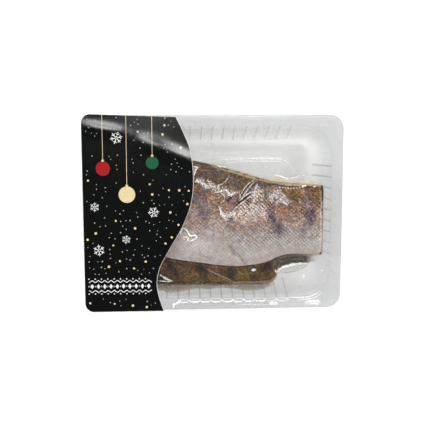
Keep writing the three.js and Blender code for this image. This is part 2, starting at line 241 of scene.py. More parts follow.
LOWER = {
    "left": -72, "right": 49.5, "left_round": 16, "right_round": 9,
    "end_drop": 4, "end_reach": 9, "crest_at": 0.3, "lean": 0,
    "front": curve_through((-72, -54), (-30, -55.4), (15, -55.8), (49.5, -55.4)),
    "back": curve_through((-72, -6), (-30, 4), (10, 5), (49.5, -22)),
    "front_height": curve_through((-72, 14), (0, 15), (49.5, 15.4)),
    "crest_height": curve_through((-72, 14.5), (-20, 17), (25, 17), (49.5, 15.6)),
    "back_height": curve_through((-72, 8.5), (0, 8.5), (49.5, 12)),
}
UPPER = {
    "left": -74, "right": 81.6, "left_round": 22, "right_round": 1.2,
    "end_drop": 3, "end_reach": 10, "crest_at": 0.42, "lean": WALL_LEAN,
    "front": curve_through(
        (-74, -20), (-39, -33), (-9, -38.8), (17, -41.6), (31, -40.7), (40, -38.6), (49, -35.4), (58, -34.2),
        (73, -34.2), (81.6, -33.4)),
    "back": curve_through(
        (-74, 40), (-46, 44), (-18, 38.4), (14, 31), (30, 26.2), (43.5, 22.6), (60, 20.6), (81.6, 19.6)),
    "front_height": curve_through(
        (-74, 14.5), (-40, 20.3), (0, 20.8), (34, 20.4), (46, 18.8), (58, 15.2), (68, 14.6), (81.6, 19.5)),
    "crest_height": curve_through(
        (-74, 18), (-40, 22.6), (0, 23), (36, 21.8), (60, 18.2), (72, 18.4), (81.6, 20.6)),
    "back_height": curve_through((-74, 11), (-20, 12.4), (40, 12), (66, 14), (81.6, 20.4)),
}

# Where the belly of the upper fillet folds over the lower one's edge
BELLY_FOLD = [(8.5, -23), (10.8, -27.5), (15, -31.5), (20.5, -35.2), (28, -38.8)]
BELLY_FOLD_DEPTH = 0.8
BELLY_FOLD_HALF = 1.7
BELLY_FOLD_TAIL = 0.1
SKIN_STEP = 0.35
SKIN_STEP_HALF = 0.3
SEGMENT_PITCH = 7.5
SEGMENT_DEPTH = 0.14
SEGMENT_BEND = 9
SEGMENT_TIP = 0.55


def profile_at(inset, column):
    """The unrounded tray profile's HEIGHT or corner RADIUS at an inset."""
    rows = np.array(TRAY_PROFILE)[1:]
    return np.interp(inset, rows[:, 0], rows[:, column])


def inset_at(x, y):
    """The inset from the tray's outline, found on the profile's own rounded rectangles."""
    low = np.zeros(np.shape(x))
    high = np.full(np.shape(x), HALF_WIDTH)
    for _ in range(INSET_HALVINGS):
        inset = (low + high) / 2
        radius = np.minimum(profile_at(inset, RADIUS), HALF_WIDTH - inset)
        over_x = np.abs(x) - (HALF_LENGTH - inset - radius)
        over_y = np.abs(y) - (HALF_WIDTH - inset - radius)
        outside = np.hypot(np.maximum(over_x, 0), np.maximum(over_y, 0))
        within = np.minimum(np.maximum(over_x, over_y), 0) + outside < radius
        low = np.where(within, inset, low)
        high = np.where(within, high, inset)
    return (low + high) / 2


def groove_share(place, each_way):
    """1 in the middle of a groove and 0 between grooves, for a place along a wall."""
    index = np.round(place / GROOVE_PITCH)
    off = np.abs(place - index * GROOVE_PITCH)
    return (1 - smoothstep(off, GROOVE_FLAT, GROOVE_HALF)) * (np.abs(index) <= each_way)


def groove_shade_line(place, each_way):
    """How much a place along a wall lies on the sharp bend of a groove, which gets a grey line of painted
    shade.
    """
    index = np.round(place / GROOVE_PITCH)
    off = place - index * GROOVE_PITCH + (GROOVE_LINE_OFF if each_way == GROOVES_LONG else 0)
    return bell(off, GROOVE_LINE_HALF) * (np.abs(index) <= each_way)


def fillet_edges(fillet, x):
    """A fillet's front and back edges at a length, drawn in at its round ends."""
    from_left = x - fillet["left"]
    from_right = fillet["right"] - x
    corner = np.maximum(
        fillet["left_round"] * (1 - quarter_round(from_left, fillet["left_round"])),
        fillet["right_round"] * (1 - quarter_round(from_right, fillet["right_round"])),
    )
    end = from_left if fillet["lean"] else np.minimum(from_left, from_right)
    return fillet["front"](x) + corner, fillet["back"](x) - corner, end


def skin_height(fillet, x, y):
    """The height of a fillet's skin side at points within its outline."""
    front, back, end = fillet_edges(fillet, x)
    across = (y - front) / (back - front)
    crest_at = fillet["crest_at"]
    rising = np.sin(math.pi / 2 * np.clip(across / crest_at, 0, 1))
    falling = np.cos(math.pi / 2 * np.clip((across - crest_at) / (1 - crest_at), 0, 1))
    crest, front_height, back_height = (fillet[line + "_height"](x) for line in ("crest", "front", "back"))
    before = front_height + (crest - front_height) * rising
    after = back_height + (crest - back_height) * falling
    height = np.where(across < crest_at, before, after)
    side = np.minimum(y - front, back - y)
    roll = FILLET_ROLL * (1 - quarter_round(side, FILLET_ROUND))
    drop = fillet["end_drop"] * (1 - quarter_round(end, fillet["end_reach"]))
    ripple = RIPPLE * np.sin(RIPPLE_X * x + RIPPLE_Y * y)
    return height - roll - drop + ripple + skin_relief(fillet, x, y)


def skin_relief(fillet, x, y):
    """Low relief of the skin side: muscle segments, lumps, the step at the skin's edge and the belly's fold."""
    front, back, _ = fillet_edges(fillet, x)
    across = np.clip((y - front) / (back - front), 0, 1)
    bend = SEGMENT_BEND * np.abs(across - SEGMENT_TIP)
    segments = SEGMENT_DEPTH * np.sin(2 * math.pi * (x + bend + noise(x, y, 9, 11)) / SEGMENT_PITCH)
    lumps = layered_noise(x, y, (0.16, 6.5, 12), (0.07, 2.6, 13))
    margin = skin_margin(fillet, x)
    step = -SKIN_STEP * (1 - smoothstep(back - y, margin - SKIN_STEP_HALF, margin + SKIN_STEP_HALF))
    fold = 0
    if fillet is UPPER:
        distance, along = line_distance(x, y, BELLY_FOLD)
        fold = -BELLY_FOLD_DEPTH * bell(distance, BELLY_FOLD_HALF) * hump(along, BELLY_FOLD_TAIL)
    return segments + lumps + step + fold


def skin_margin(fillet, x):
    """How wide the bare flesh is beside the skin along the back edge."""
    ragged = 0.3 * noise(x, 0 * x, 5, 14 if fillet is UPPER else 15)
    if fillet is UPPER:
        return 0.4 + 1.6 * smoothstep(x, -6, 8) * (1 - 0.3 * smoothstep(x, 60, 78)) + ragged
    return 1.2 + ragged


RASTER_X, RASTER_Y = (
    np.arange(-half - RASTER_MARGIN, half + RASTER_MARGIN + CELL / 2, CELL)
    for half in (HALF_LENGTH, HALF_WIDTH))
GRID_X, GRID_Y = np.meshgrid(RASTER_X, RASTER_Y, indexing="ij")


def sample(raster, x, y):
    """A raster's value between its cells, on a smooth surface through them."""
    u = (x - RASTER_X[0]) / CELL
    v = (y - RASTER_Y[0]) / CELL
    i = np.clip(np.floor(u).astype(int), 1, raster.shape[0] - 3)
    j = np.clip(np.floor(v).astype(int), 1, raster.shape[1] - 3)

    def weights(t):
        return (
            (-t + 2 * t**2 - t**3) / 2,
            (2 - 5 * t**2 + 3 * t**3) / 2,
            (t + 4 * t**2 - 3 * t**3) / 2,
            (-(t**2) + t**3) / 2,
        )

    across, along = weights(u - i), weights(v - j)
    total = 0
    for a in range(4):
        for b in range(4):
            total = total + across[a] * along[b] * raster[i + a - 1, j + b - 1]
    return total


def shifted(raster, steps_x, steps_y):
    """The raster moved by whole cells, its border repeated."""
    padded = np.pad(raster, 1, mode="edge")
    rows, columns = raster.shape
    return padded[1 + steps_x:1 + steps_x + rows, 1 + steps_y:1 + steps_y + columns]


AROUND = [(a, b) for a in (-1, 0, 1) for b in (-1, 0, 1) if a or b]


def neighbour_mean(raster):
    """The mean of the eight cells around each cell, the nearer ones counting more."""
    weights = [1 / math.hypot(a, b) for a, b in AROUND]
    return sum(shifted(raster, a, b) * weight for (a, b), weight in zip(AROUND, weights)) / sum(weights)


def skin_raster(fillet):
    """The fillet's skin over the raster, and -1 outside its outline."""
    front, back, _ = fillet_edges(fillet, np.clip(GRID_X, fillet["left"], fillet["right"]))
    inside = (GRID_X > fillet["left"]) & (GRID_X < fillet["right"]) & (GRID_Y > front) & (GRID_Y < back)
    clipped_x = np.clip(GRID_X, fillet["left"] + 0.01, fillet["right"] - 0.01)
    return np.where(inside, skin_height(fillet, clipped_x, GRID_Y), -1)


def tray_raster(groove_dip):
    """The tray's upper face over the raster, with the dips that its grooves make in what lies on them."""
    inset = inset_at(GRID_X, GRID_Y)
    nearer_long = HALF_WIDTH - np.abs(GRID_Y) < HALF_LENGTH - np.abs(GRID_X)
    along_x = GRID_X - FRONT_GROOVES_AT * (GRID_Y < 0)
    along_y = GRID_Y - RIGHT_GROOVES_AT * (GRID_X > 0)
    grooves = np.where(nearer_long, groove_share(along_x, GROOVES_LONG), groove_share(along_y, GROOVES_SHORT))
    above_foot = 1 - smoothstep(inset, WALL_FOOT_INSET - 2.5, WALL_FOOT_INSET)
    on_wall = smoothstep(inset, FLANGE_WIDTH - 0.6, LEDGE_INSET) * above_foot
    return profile_at(inset + groove_dip * grooves * on_wall, HEIGHT), inset


def eased(heights, slope, passes):
    """Raises what lies beside a height until nothing is steeper than the slope."""
    for _ in range(passes):
        for a, b in AROUND:
            heights = np.maximum(heights, shifted(heights, a, b) - slope * CELL * math.hypot(a, b))
    return heights


TRAY_GRID, _ = tray_raster(0)
LOWER_GRID = skin_raster(LOWER)
UPPER_GRID = skin_raster(UPPER)
FISH_GRID = np.maximum(LOWER_GRID, UPPER_GRID)
BED_OF_LOWER = np.maximum(PLATFORM_TOP, TRAY_GRID + FILLET_GAP) + FILLET_GAP


def sagging_bed():
    """What the upper fillet lies on: the tray and, held up by its own stiffness, the lower fillet."""
    padded = LOWER_GRID.copy()
    for _ in range(round(SAG_PLATEAU / CELL / CELLS_PER_PASS)):
        for a, b in AROUND:
            padded = np.maximum(padded, shifted(padded, a, b))
    draped = eased(padded, SAG_SLOPE, round(SAG_REACH / CELL))
    return np.maximum(BED_OF_LOWER, np.where(draped > 0, draped + FILLET_GAP, 0))


BED_OF_UPPER = sagging_bed()

# Film: how close it lies, how thick and how steep it is, and how often its raster is gone over
CLING = 0.12
FILM_SHEET = 0.16
FILM_STEEPEST = 2.3
FILM_STEEPEST_TIGHT = 6.0
STEEP_PASSES = 26
BRIDGE_PASSES = 26
SOFTEN_PASSES = 2
WRINKLE_TAIL = 0.04
WRINKLES = [
    # points, height, half width
    ([(-15.5, 25), (-10, 22.5), (-6, 20), (-3, 17.5), (2, 17.5), (8, 15.3)], 0.35, 1.1),
    ([(-4, 12), (1.5, 13.5), (6.5, 11)], 0.3, 1.1),
    ([(32.5, 23.2), (27, 18.6), (20, 9.8), (11.4, -0.5)], 0.5, 1.0),
    ([(-23.5, -9.5), (-19.5, -15), (-14, -16), (-14, -18.5), (-18.5, -20.5)], 0.4, 1.0),
    ([(5, 0.5), (7, -4), (9, -8.5)], 0.35, 1.1),
    ([(-36, -49), (-31, -51.5), (-27, -52)], 0.35, 1.0),
    ([(50, -49), (50.8, -58), (51.2, -66)], 0.25, 0.9),
    ([(55.8, -49), (56.4, -58), (56.6, -66)], 0.25, 0.9),
    ([(46.5, -56), (47.5, -61), (48, -66)], 0.2, 0.9),
]
RIDGE = [(47.5, -46.8), (49.7, -45.3), (52.7, -43.4), (60.1, -41.5), (66, -40.9), (72.3, -40.7)]
RIDGE_HEIGHT = curve_through((47, 13.6), (52, 13.9), (60, 13.4), (66, 12.6), (72.3, 11.6))
RIDGE_FRONT_SLOPE = 0.62
RIDGE_BACK_SLOPE = 3.2
RIDGE_START_SLOPE = 4
RIDGE_END_SLOPE = 1.5
FLAP = [(55.5, -49.5), (62.2, -48.0), (68.8, -45.5), (72.3, -41.6)]
FLAP_DROP = 1.5
DIPS_IN_GROOVES = 0.2
SEALED_HEIGHT = RIM_HEIGHT + 0.04


def ridge_raster():
    """The pleat that the film makes from the end of the lower fillet along the belly of the upper one."""
    ridge_x, ridge_y = np.array(RIDGE).T
    top = RIDGE_HEIGHT(np.clip(GRID_X, ridge_x[0], ridge_x[-1]))
    off = GRID_Y - np.interp(GRID_X, ridge_x, ridge_y)
    fall = np.where(off < 0, -RIDGE_FRONT_SLOPE * off, RIDGE_BACK_SLOPE * off)
    flap_x, flap_y = np.array(FLAP).T
    beside_flap = (GRID_X > flap_x[0]) * (GRID_X < flap_x[-1])
    under_flap = FLAP_DROP * smoothstep(np.interp(GRID_X, flap_x, flap_y) - GRID_Y, -0.3, 0.5) * beside_flap
    past_end = np.maximum(GRID_X - ridge_x[-1], 0) * RIDGE_END_SLOPE
    before_start = np.maximum(ridge_x[0] - GRID_X, 0) * RIDGE_START_SLOPE
    return top - fall - past_end - before_start - under_flap


def film_raster():
    """The underside of the film: clinging, bridging what is hollow, pleated and wrinkled."""
    tray, inset = tray_raster(DIPS_IN_GROOVES)
    contents = np.maximum(tray, FISH_GRID) + CLING
    on_fish = smoothstep(FISH_GRID, 0, 5)
    on_lower = smoothstep(LOWER_GRID, 0, 5) * (1 - smoothstep(GRID_Y, -30, -20))
    tight = np.clip(2 * neighbour_mean(on_lower), 0, 1)
    height = eased(contents, FILM_STEEPEST + (FILM_STEEPEST_TIGHT - FILM_STEEPEST) * tight, STEEP_PASSES)
    height = np.maximum(height, ridge_raster())
    least = height
    for _ in range(BRIDGE_PASSES):
        height = np.maximum(least, neighbour_mean(height) * (1 - tight) + height * tight)
    for points, tall, half in WRINKLES:
        distance, along = line_distance(GRID_X, GRID_Y, points)
        height = height + tall * np.sqrt(hump(along, WRINKLE_TAIL)) * bell(distance, half)
    for _ in range(SOFTEN_PASSES):
        height = np.maximum(contents, (height + neighbour_mean(height)) / 2)
    slack = layered_noise(GRID_X, GRID_Y, (0.08, 7, 21), (0.03, 3, 22)) * (0.3 + 0.7 * on_fish)
    height = height + np.maximum(slack, -CLING / 2)
    sealed = smoothstep(inset, FLANGE_WIDTH - 0.9, FLANGE_WIDTH - 0.1)
    return SEALED_HEIGHT + (height - SEALED_HEIGHT) * sealed


FILM_GRID = film_raster()


# Meshes
def add_piece(
        name, points, faces, materials, replaced=(), fields=None, material_of_face=None, sharp=None):
    """A piece of the pack from points in millimetres and faces, with its materials and values at points."""
    mesh = bpy.data.meshes.new(name)
    mesh.from_pydata((np.asarray(points) * MM).tolist(), [], [list(map(int, face)) for face in faces])
    for material in materials:
        mesh.materials.append(material)
    if material_of_face is not None:
        mesh.polygons.foreach_set("material_index", np.asarray(material_of_face, np.int32))
    mesh.polygons.foreach_set("use_smooth", np.ones(len(mesh.polygons), bool))
    for field, values in (fields or {}).items():
        attribute = mesh.attributes.new(field, "FLOAT", "POINT")
        attribute.data.foreach_set("value", np.asarray(values, np.float32).ravel())
    if sharp:
        mesh.set_sharp_from_angle(angle=math.radians(sharp))
    mesh.update()
    piece = bpy.data.objects.new(name, mesh)
    bpy.context.scene.collection.objects.link(piece)
    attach(piece, BODY)
    if replaced:
        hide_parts(*replaced)
    return piece


def loft_faces(rows, count):
    """Quads round a row of rings, and a ladder of quads over the first and the last ring."""
    i, k = np.meshgrid(np.arange(rows - 1), np.arange(count), indexing="ij")
    a = i * count + k
    b = i * count + (k + 1) % count
    sides = np.stack([a, b, b + count, a + count], -1).reshape(-1, 4)
    k = np.arange(count // 2 - 1)
    first = np.stack([k, count - 1 - k, count - 2 - k, k + 1], -1)
    last = (rows - 1) * count + np.stack([k, k + 1, count - 2 - k, count - 1 - k], -1)
    return np.concatenate([sides, first, last])


def points_at(x, y, z):
    return np.stack([x, y, z], -1)


def both_sides(over, under):
    """The columns over and then those under, the other way, as they lie round a section."""
    return np.concatenate([over, under[:, ::-1]], 1)


def outward(points, faces):
    """The faces, turned about if they face into the solid."""
    a, b, c, d = (points[faces[:, corner]] for corner in range(4))
    volume = sum(np.einsum("ij,ij->i", a, np.cross(p, q)).sum() for p, q in ((b, c), (c, d)))
    return faces if volume > 0 else faces[:, ::-1]


def loft(rings):
    """The points and faces of a closed solid through rings: an array of rows, points and coordinates."""
    rows, count, _ = rings.shape
    points = rings.reshape(-1, 3)
    return points, outward(points, loft_faces(rows, count))


def stations(long_places, short_places, per_corner, right_at=0, front_at=0):
    """Where the points of a rounded rectangle lie, anticlockwise from above the middle of its right side.

    Each has its share of the straight half sides, its direction from the corner's centre, and how much it
    lies in a groove and on a groove's sharp bend. The grooves of the right and the front side may lie off
    the middle.
    """
    rows = []

    def side(places, short, sign, middle=0):
        each_way = GROOVES_SHORT if short else GROOVES_LONG
        for place in places:
            share = (place + middle) / (STRAIGHT_Y if short else STRAIGHT_X)
            where = (sign, share, sign, 0) if short else (share, sign, 0, sign)
            rows.append((*where, groove_share(place, each_way), groove_shade_line(place, each_way)))

    def corner(quarter, sign_x, sign_y):
        for step in range(per_corner):
            angle = math.pi / 2 * (quarter + step / (per_corner - 1))
            rows.append((sign_x, sign_y, math.cos(angle), math.sin(angle), 0, 0))

    upper_half = [place for place in short_places if place > 0]
    side(upper_half, True, 1, right_at)
    corner(0, 1, 1)
    side(long_places[::-1], False, 1)
    corner(1, -1, 1)
    side(short_places[::-1], True, -1)
    corner(2, -1, -1)
    side(long_places, False, -1, front_at)
    corner(3, 1, -1)
    side([-place for place in upper_half[::-1]], True, 1, right_at)
    return np.array(rows).T


def rectangle_ring(inset, radius, places):
    """A rounded rectangle's points on plan, and the directions that lead out of it."""
    share_x, share_y, out_x, out_y = places[:4]
    x = share_x * (HALF_LENGTH - inset - radius) + out_x * radius
    y = share_y * (HALF_WIDTH - inset - radius) + out_y * radius
    return x, y, out_x, out_y


# Tray
def offset_profile(rows, distance):
    """Moves a profile to its right hand in its own plane, mitred at its corners."""
    moved = []
    for i, (inset, height, radius, reach) in enumerate(rows):
        normals = []
        for start, end in ((i - 1, i), (i, i + 1)):
            if start >= 0 and end < len(rows):
                run, rise = rows[end][0] - rows[start][0], rows[end][1] - rows[start][1]
                normals.append(np.array([rise, -run]) / math.hypot(run, rise))
        mitre = normals[0]
        if len(normals) > 1:
            mitre = (normals[0] + normals[1]) / (1 + normals[0] @ normals[1])
        inward, up = mitre * distance
        moved.append((inset + inward, height + up, radius - inward, reach))
    return moved


def rounded_path(rows):
    """The profile's points, each corner rounded over its reach."""
    places = [np.array(row[:3], float) for row in rows]
    path = [places[0]]
    for before, here, after, row in zip(places, places[1:], places[2:], rows[1:]):
        start = here + (before - here) * row[3] / math.dist(before[:2], here[:2])
        end = here + (after - here) * row[3] / math.dist(after[:2], here[:2])
        for step in range(ROUNDING_STEPS + 1):
            t = step / ROUNDING_STEPS
            path.append((1 - t) ** 2 * start + 2 * t * (1 - t) * here + t * t * end)
    return path + [places[-1]]


def subdivided(path, counts):
    """The path with each of its stretches divided by its count."""
    made = [path[0]]
    for start, end, count in zip(path, path[1:], counts):
        made += [start + (end - start) * step / count for step in range(1, count + 1)]
    return np.array(made)


# How clear the tray's sheet looks: low down, and the painted light that each side adds
CLEAR_LOW = 0.787
CLEAR_FRONT_FLANGE = 0.2
CLEAR_BACK_WALL, CLEAR_RIGHT_WALL, CLEAR_FRONT_WALL = 0.07, 0.095, -0.055
CLEAR_BACK_FLOOR, CLEAR_BACK_PLATFORM = 0.03, 0.16

# How much more painted shade the right wall's grooves get far back, between these two places, and the painted
# shade along the ledge's bend
FAR_BACK_EXTRA_SHADE, FAR_BACK_FROM, FAR_BACK_TO = 0.4, 19, 25
LEDGE_LINE, LEDGE_LINE_HALF = 0.15, 0.3


def tray_fields(inset, height, y, places):
    """How much painted shade greys one ring of the tray along its sharp bends, and how clear it is with painted
    light on some sides.
    """
    _, _, out_x, out_y, _, line = places
    right, back, front = (np.maximum(way, 0) ** 2 for way in (out_x, out_y, -out_y))
    line = line * np.where(out_x == 0, LONG_WALL_LINES, SHORT_WALL_LINES)
    line = line * smoothstep(height, GROOVE_FOOT, GROOVE_FOOT + 1)
    line = line * smoothstep(inset, FLANGE_WIDTH, LEDGE_INSET)
    line = line * (1 + FAR_BACK_EXTRA_SHADE * smoothstep(y, FAR_BACK_FROM, FAR_BACK_TO) * (out_x == 1))
    edge = np.maximum(line, LEDGE_LINE * bell(inset - LEDGE_INSET, LEDGE_LINE_HALF))
    wall = smoothstep(height, WALL_FOOT_HEIGHT, 8) * (1 - smoothstep(height, RIM_HEIGHT - 3, LEDGE_HEIGHT))
    flange = smoothstep(height, LEDGE_HEIGHT, RIM_HEIGHT - 0.5)
    platform = smoothstep(inset, PLATFORM_INSET - 1.3, PLATFORM_INSET + 0.2)
    # Clearer low down where the sheet is thin, plus painted light on the front flange, on the walls by side and
    # at the back
    clear = CLEAR_LOW * (1 - smoothstep(height, 0, RIM_HEIGHT)) + CLEAR_FRONT_FLANGE * front * flange
    clear = clear + wall * (CLEAR_BACK_WALL * back + CLEAR_RIGHT_WALL * right + CLEAR_FRONT_WALL * front)
    low_down = (1 - wall) * (1 - flange)
    return edge, clear + back * low_down * (CLEAR_BACK_FLOOR + CLEAR_BACK_PLATFORM * platform)


def tray_piece(material):
    """The tray's sheet, with its grooves pressed out of the walls and up through the ledge."""
    upper = rounded_path(TRAY_PROFILE)
    lower = rounded_path(offset_profile(TRAY_PROFILE, TRAY_SHEET))
    counts = [max(1, math.ceil(math.dist(a[:2], b[:2]) / LONGEST_STRETCH)) for a, b in zip(upper, upper[1:])]
    upper, lower = subdivided(upper, counts), subdivided(lower, counts)
    offsets = [-off for off in GROOVE_STATIONS[::-1]] + list(GROOVE_STATIONS)
    long_places, short_places = (
        [k * GROOVE_PITCH + off for k in range(-each_way, each_way + 1) for off in offsets]
        for each_way in (GROOVES_LONG, GROOVES_SHORT))
    places = stations(long_places, short_places, TRAY_CORNER_POINTS, RIGHT_GROOVES_AT, FRONT_GROOVES_AT)
    rings, edges, clears = [], [], []
    order = list(range(len(upper)))
    for path, rows in ((upper, order[::-1]), (lower, order)):
        for row in rows:
            inset, height, radius = path[row]
            face_inset, face_height, _ = upper[row]
            x, y, out_x, out_y = rectangle_ring(inset, radius, places)
            depth = GROOVE_DEPTH * smoothstep(face_height, GROOVE_FOOT, GROOVE_FOOT + GROOVE_FADE)
            shift = places[4] * min(depth, max(face_inset - LEDGE_INSET - LEDGE_CLEARANCE, 0))
            rings.append(points_at(x + out_x * shift, y + out_y * shift, np.full_like(x, height)))
            edge, clear = tray_fields(face_inset, face_height, y, places)
            edges.append(edge)
            clears.append(clear)
    points, faces = loft(np.array(rings))
    # The field edge holds painted shade along sharp bends, and the field drawn holds clearness with painted
    # light by side
    fields = {"edge": np.array(edges), "drawn": np.array(clears)}
    return add_piece("tray_shell", points, faces, [material], ["tray"], fields)


# Fillets
def eased_share(count, ease):
    """Shares from 0 to 1 that lie closer together towards both ends."""
    t = np.linspace(0, 1, count)
    return t - ease * np.sin(2 * math.pi * t) / (2 * math.pi)


def fillet_piece(name, fillet, bed, sections, steps, material, node):
    """One fillet as sections across it, skin over and flesh under, with what its surface shows where."""
    low = fillet["left"] + FILLET_GAP
    high = fillet["right"] - (0 if fillet["lean"] else FILLET_GAP)
    xs = low + (high - low) * eased_share(sections, SECTION_EASE)
    across = eased_share(steps, ACROSS_EASE)
    front, back, end = fillet_edges(fillet, xs)
    x = np.repeat(xs[:, None], steps, 1)
    y = front[:, None] + (back - front)[:, None] * across[None, :]
    end = np.repeat(end[:, None], steps, 1)
    skin = skin_height(fillet, x, y)
    leaning = smoothstep(x, fillet["right"] - LEANING_LENGTH, fillet["right"])
    under_x = x - fillet["lean"] * leaning * LEANING_THICKNESS
    side = np.minimum(np.minimum(y - front[:, None], back[:, None] - y), end)
    roll = UNDERSIDE_ROLL * (1 - quarter_round(side, FILLET_ROUND))
    flesh = np.minimum(sample(bed, under_x, y) + roll, skin - THINNEST)
    points, faces = loft(both_sides(points_at(x, y, skin), points_at(under_x, y, flesh)))
    fields = {}
    for field, values in surface_fields(fillet, x, y, front[:, None], back[:, None]).items():
        under = values if field == "across" else np.full_like(values, field == "flesh")
        fields[field] = both_sides(values, under)
    return add_piece(name, points, faces, [material], [node], fields)


UPPER_FIELDS = {
    # x, y, half length, half width, turn, strength
    "bar": [
        (-12, 10, 8, 5, 60, 0.7), (-7.5, 1, 11, 4.5, 110, 0.75), (11, -6, 8, 3.4, 110, 0.6),
        (5, 2, 6, 3, 40, 0.45), (45, 4, 6, 3, 40, 0.8), (42.5, -3, 8, 4.5, 100, 0.95),
        (47, -12, 8, 5.5, 110, 0.9), (72.5, -3, 9, 4.6, 95, 0.95), (74, 8, 8, 5, 60, 0.55),
        (67, -13, 7, 4, 60, 0.5), (-30, 6, 12, 4, 80, 0.7), (11.5, 10, 5, 3, 20, 0.75),
        (5, 30.5, 4, 2.6, 0, 0.6), (-3, 16, 6, 3, 30, 0.5), (-6, 28, 5, 2.6, 0, 0.4),
        # The first two ovals below are painted shade in the belly's fold
        (13, -29.5, 7, 1.6, -52, 0.6), (21, -35, 8, 1.5, -32, 0.55), (-7, -34, 4, 1.4, -15, 0.3),
        (-9, 26, 4, 2.2, 20, 0.6), (22, 27, 4, 2, -20, 0.6), (13.2, 24, 4, 2.6, 30, 0.9),
        (16.9, 20.5, 3.5, 2, 30, 0.6), (-6.5, 16, 5, 2.6, -15, 0.8), (-2.5, 31, 5, 2, -20, 0.6),
        (9.5, 30.3, 4, 1.8, -20, 0.5), (35.5, 20, 4.5, 2.4, -10, 0.9), (71.5, 17.6, 5, 2.2, 0, 0.8),
        (46.7, 20.3, 5.5, 2.2, -10, 0.9), (28, 18.6, 7, 0.7, 44, 1.0), (19, 10, 6, 0.7, 42, 0.7),
        (-55, 5, 14, 4, 80, 0.7),
    ],
    "pale": [
        # The third oval below is a painted sheen on the skin
        (32, 12, 9, 7, 70, 0.72), (24, 1, 15, 7, 0, 0.72), (48.5, 10.5, 10, 6, -40, 0.75),
        (36, 0, 10, 8, 40, 0.55), (9, -2, 5, 3, 100, 0.7), (-3, 20.5, 12, 2.6, -28, 0.5),
        (10, 15, 8, 3.4, 20, 0.45), (17, -5, 8, 5, 0, 0.3), (-16, -22, 17, 9, -20, 0.5),
    ],
    "rust": [
        (58, -1, 17, 6.5, 0, 0.9), (50, 1, 8, 5, 0, 0.5), (24, -10, 18, 6, 10, 0.55), (11, 5, 10, 4.5, 35, 0.7),
        (0, 10, 12, 5, -20, 0.6), (70, 8, 9, 8, 90, 0.6), (33, -9, 16, 5, 0, 0.5), (-14, -3, 10, 8, 0, 0.35),
    ],
    "gold": [
        (62, 15.5, 20, 6, -4, 1.0), (79, 12, 5, 10, 0, 0.9),
        (5, 8.5, 10, 4, 30, 0.75), (18, 25, 16, 5, -20, 0.45),
        (31, 25, 8, 5, -20, 0.9), (-7, 31, 12, 5, -15, 0.5), (36, 18, 8, 5, 40, 0.55), (52, 19, 8, 4, 0, 0.6),
    ],
}
LOWER_FIELDS = {
    "bar": [
        (-30, -43, 9, 3.6, 100, 0.95), (-9, -44, 10, 4, 125, 0.9), (-5, -51, 5, 3, 130, 0.7),
        (13.5, -45, 8, 4, 120, 0.95), (16, -51.5, 4, 2.6, 100, 0.6), (39.5, -42.8, 5.5, 4.2, 60, 0.85),
        (41.5, -47.5, 3.2, 2.4, 80, 0.7), (31, -50.6, 3.6, 3, 0, 0.9), (-50, -44, 8, 4, 90, 0.7),
    ],
    "pale": [(2.5, -47, 15, 0.8, -30, 0.8), (24, -46, 4, 3, 0, 0.2)],
    "rust": [
        (-37, -43, 7, 6, 0, 0.9), (-21, -42, 8, 4, 0, 0.6), (3, -41, 12, 2.6, -10, 0.5),
        (30, -39.6, 8, 1.6, 0, 0.8),
    ],
    "gold": [
        (45.5, -46, 3.4, 8, 0, 0.9), (24, -46, 10, 8, 0, 0.9), (0, -52, 20, 3, 0, 0.8),
        (-19, -48, 9, 6, 0, 0.6),
    ],
}
# Where the scales show; their bright rows there are partly painted sparkle
SCALY = [
    (32, 6, 24, 13, 0, 1.0), (66, 6, 18, 12, 0, 0.75), (34, -18, 26, 12, 0, 0.4), (66, -20, 20, 10, 0, 0.4),
    (-8, -6, 14, 10, 0, 0.35),
]


# The step in the upper fillet's dark line along its back, and its cut right end
END_STRIP = 0.7
END_STRIP_BACK = 0.9
END_KNOBS = 0.35
END_CORNER_AT, END_CORNER_HALF = -32.6, 1.1


def upper_edge_fields(x, y, from_front, from_back, from_end, uneven):
    """The upper fillet's bare flesh, dark lines, warm belly edge, seam and pale end strip."""
    margin = skin_margin(UPPER, x)
    knobs = np.maximum(np.cos(2 * math.pi * (y - 9) / GROOVE_PITCH), 0) ** 2
    end_width = END_STRIP + END_STRIP_BACK * smoothstep(y, 8, 17) + END_KNOBS * knobs
    end_width = end_width + 0.9 * bell(y - END_CORNER_AT, END_CORNER_HALF)
    end_strip = 1 - smoothstep(from_end + 0.3 * uneven, end_width + 0.9, end_width + 1.5)
    end_line = 1 - smoothstep(from_end + 0.3 * uneven, end_width - 0.3, end_width + 0.3)
    outer_line = (1 - smoothstep(from_back + 0.6 * uneven, 0.45, 1.05)) * (1 - smoothstep(x, 41, 46))
    inner_line = 1 - smoothstep(np.abs(from_back - margin - 0.4 + 0.5 * uneven), 0.2, 0.7)
    dark = np.maximum(outer_line, 0.85 * inner_line * smoothstep(x, 38, 46))
    flesh = 1 - smoothstep(from_back, margin - 0.3, margin + 0.2)
    return {
        "flesh": np.maximum(flesh, 0.7 * end_strip * (0.4 + 0.6 * smoothstep(y, 4, 12))),
        "dark": np.maximum(dark, end_line * (0.4 + 0.6 * smoothstep(y, -16, 12))),
        "warm": (1 - smoothstep(from_front + 1.2 * noise(x, y, 9, 36), 1.5, 6.5)) * smoothstep(x, 5, 50),
        "seam": (1 - smoothstep(from_front + 0.2 * uneven, 1.2, 1.5)) * (1 - smoothstep(x, 58, 70)),
        "end_strip": end_strip * (1 - smoothstep(y, 6, 12)),
    }


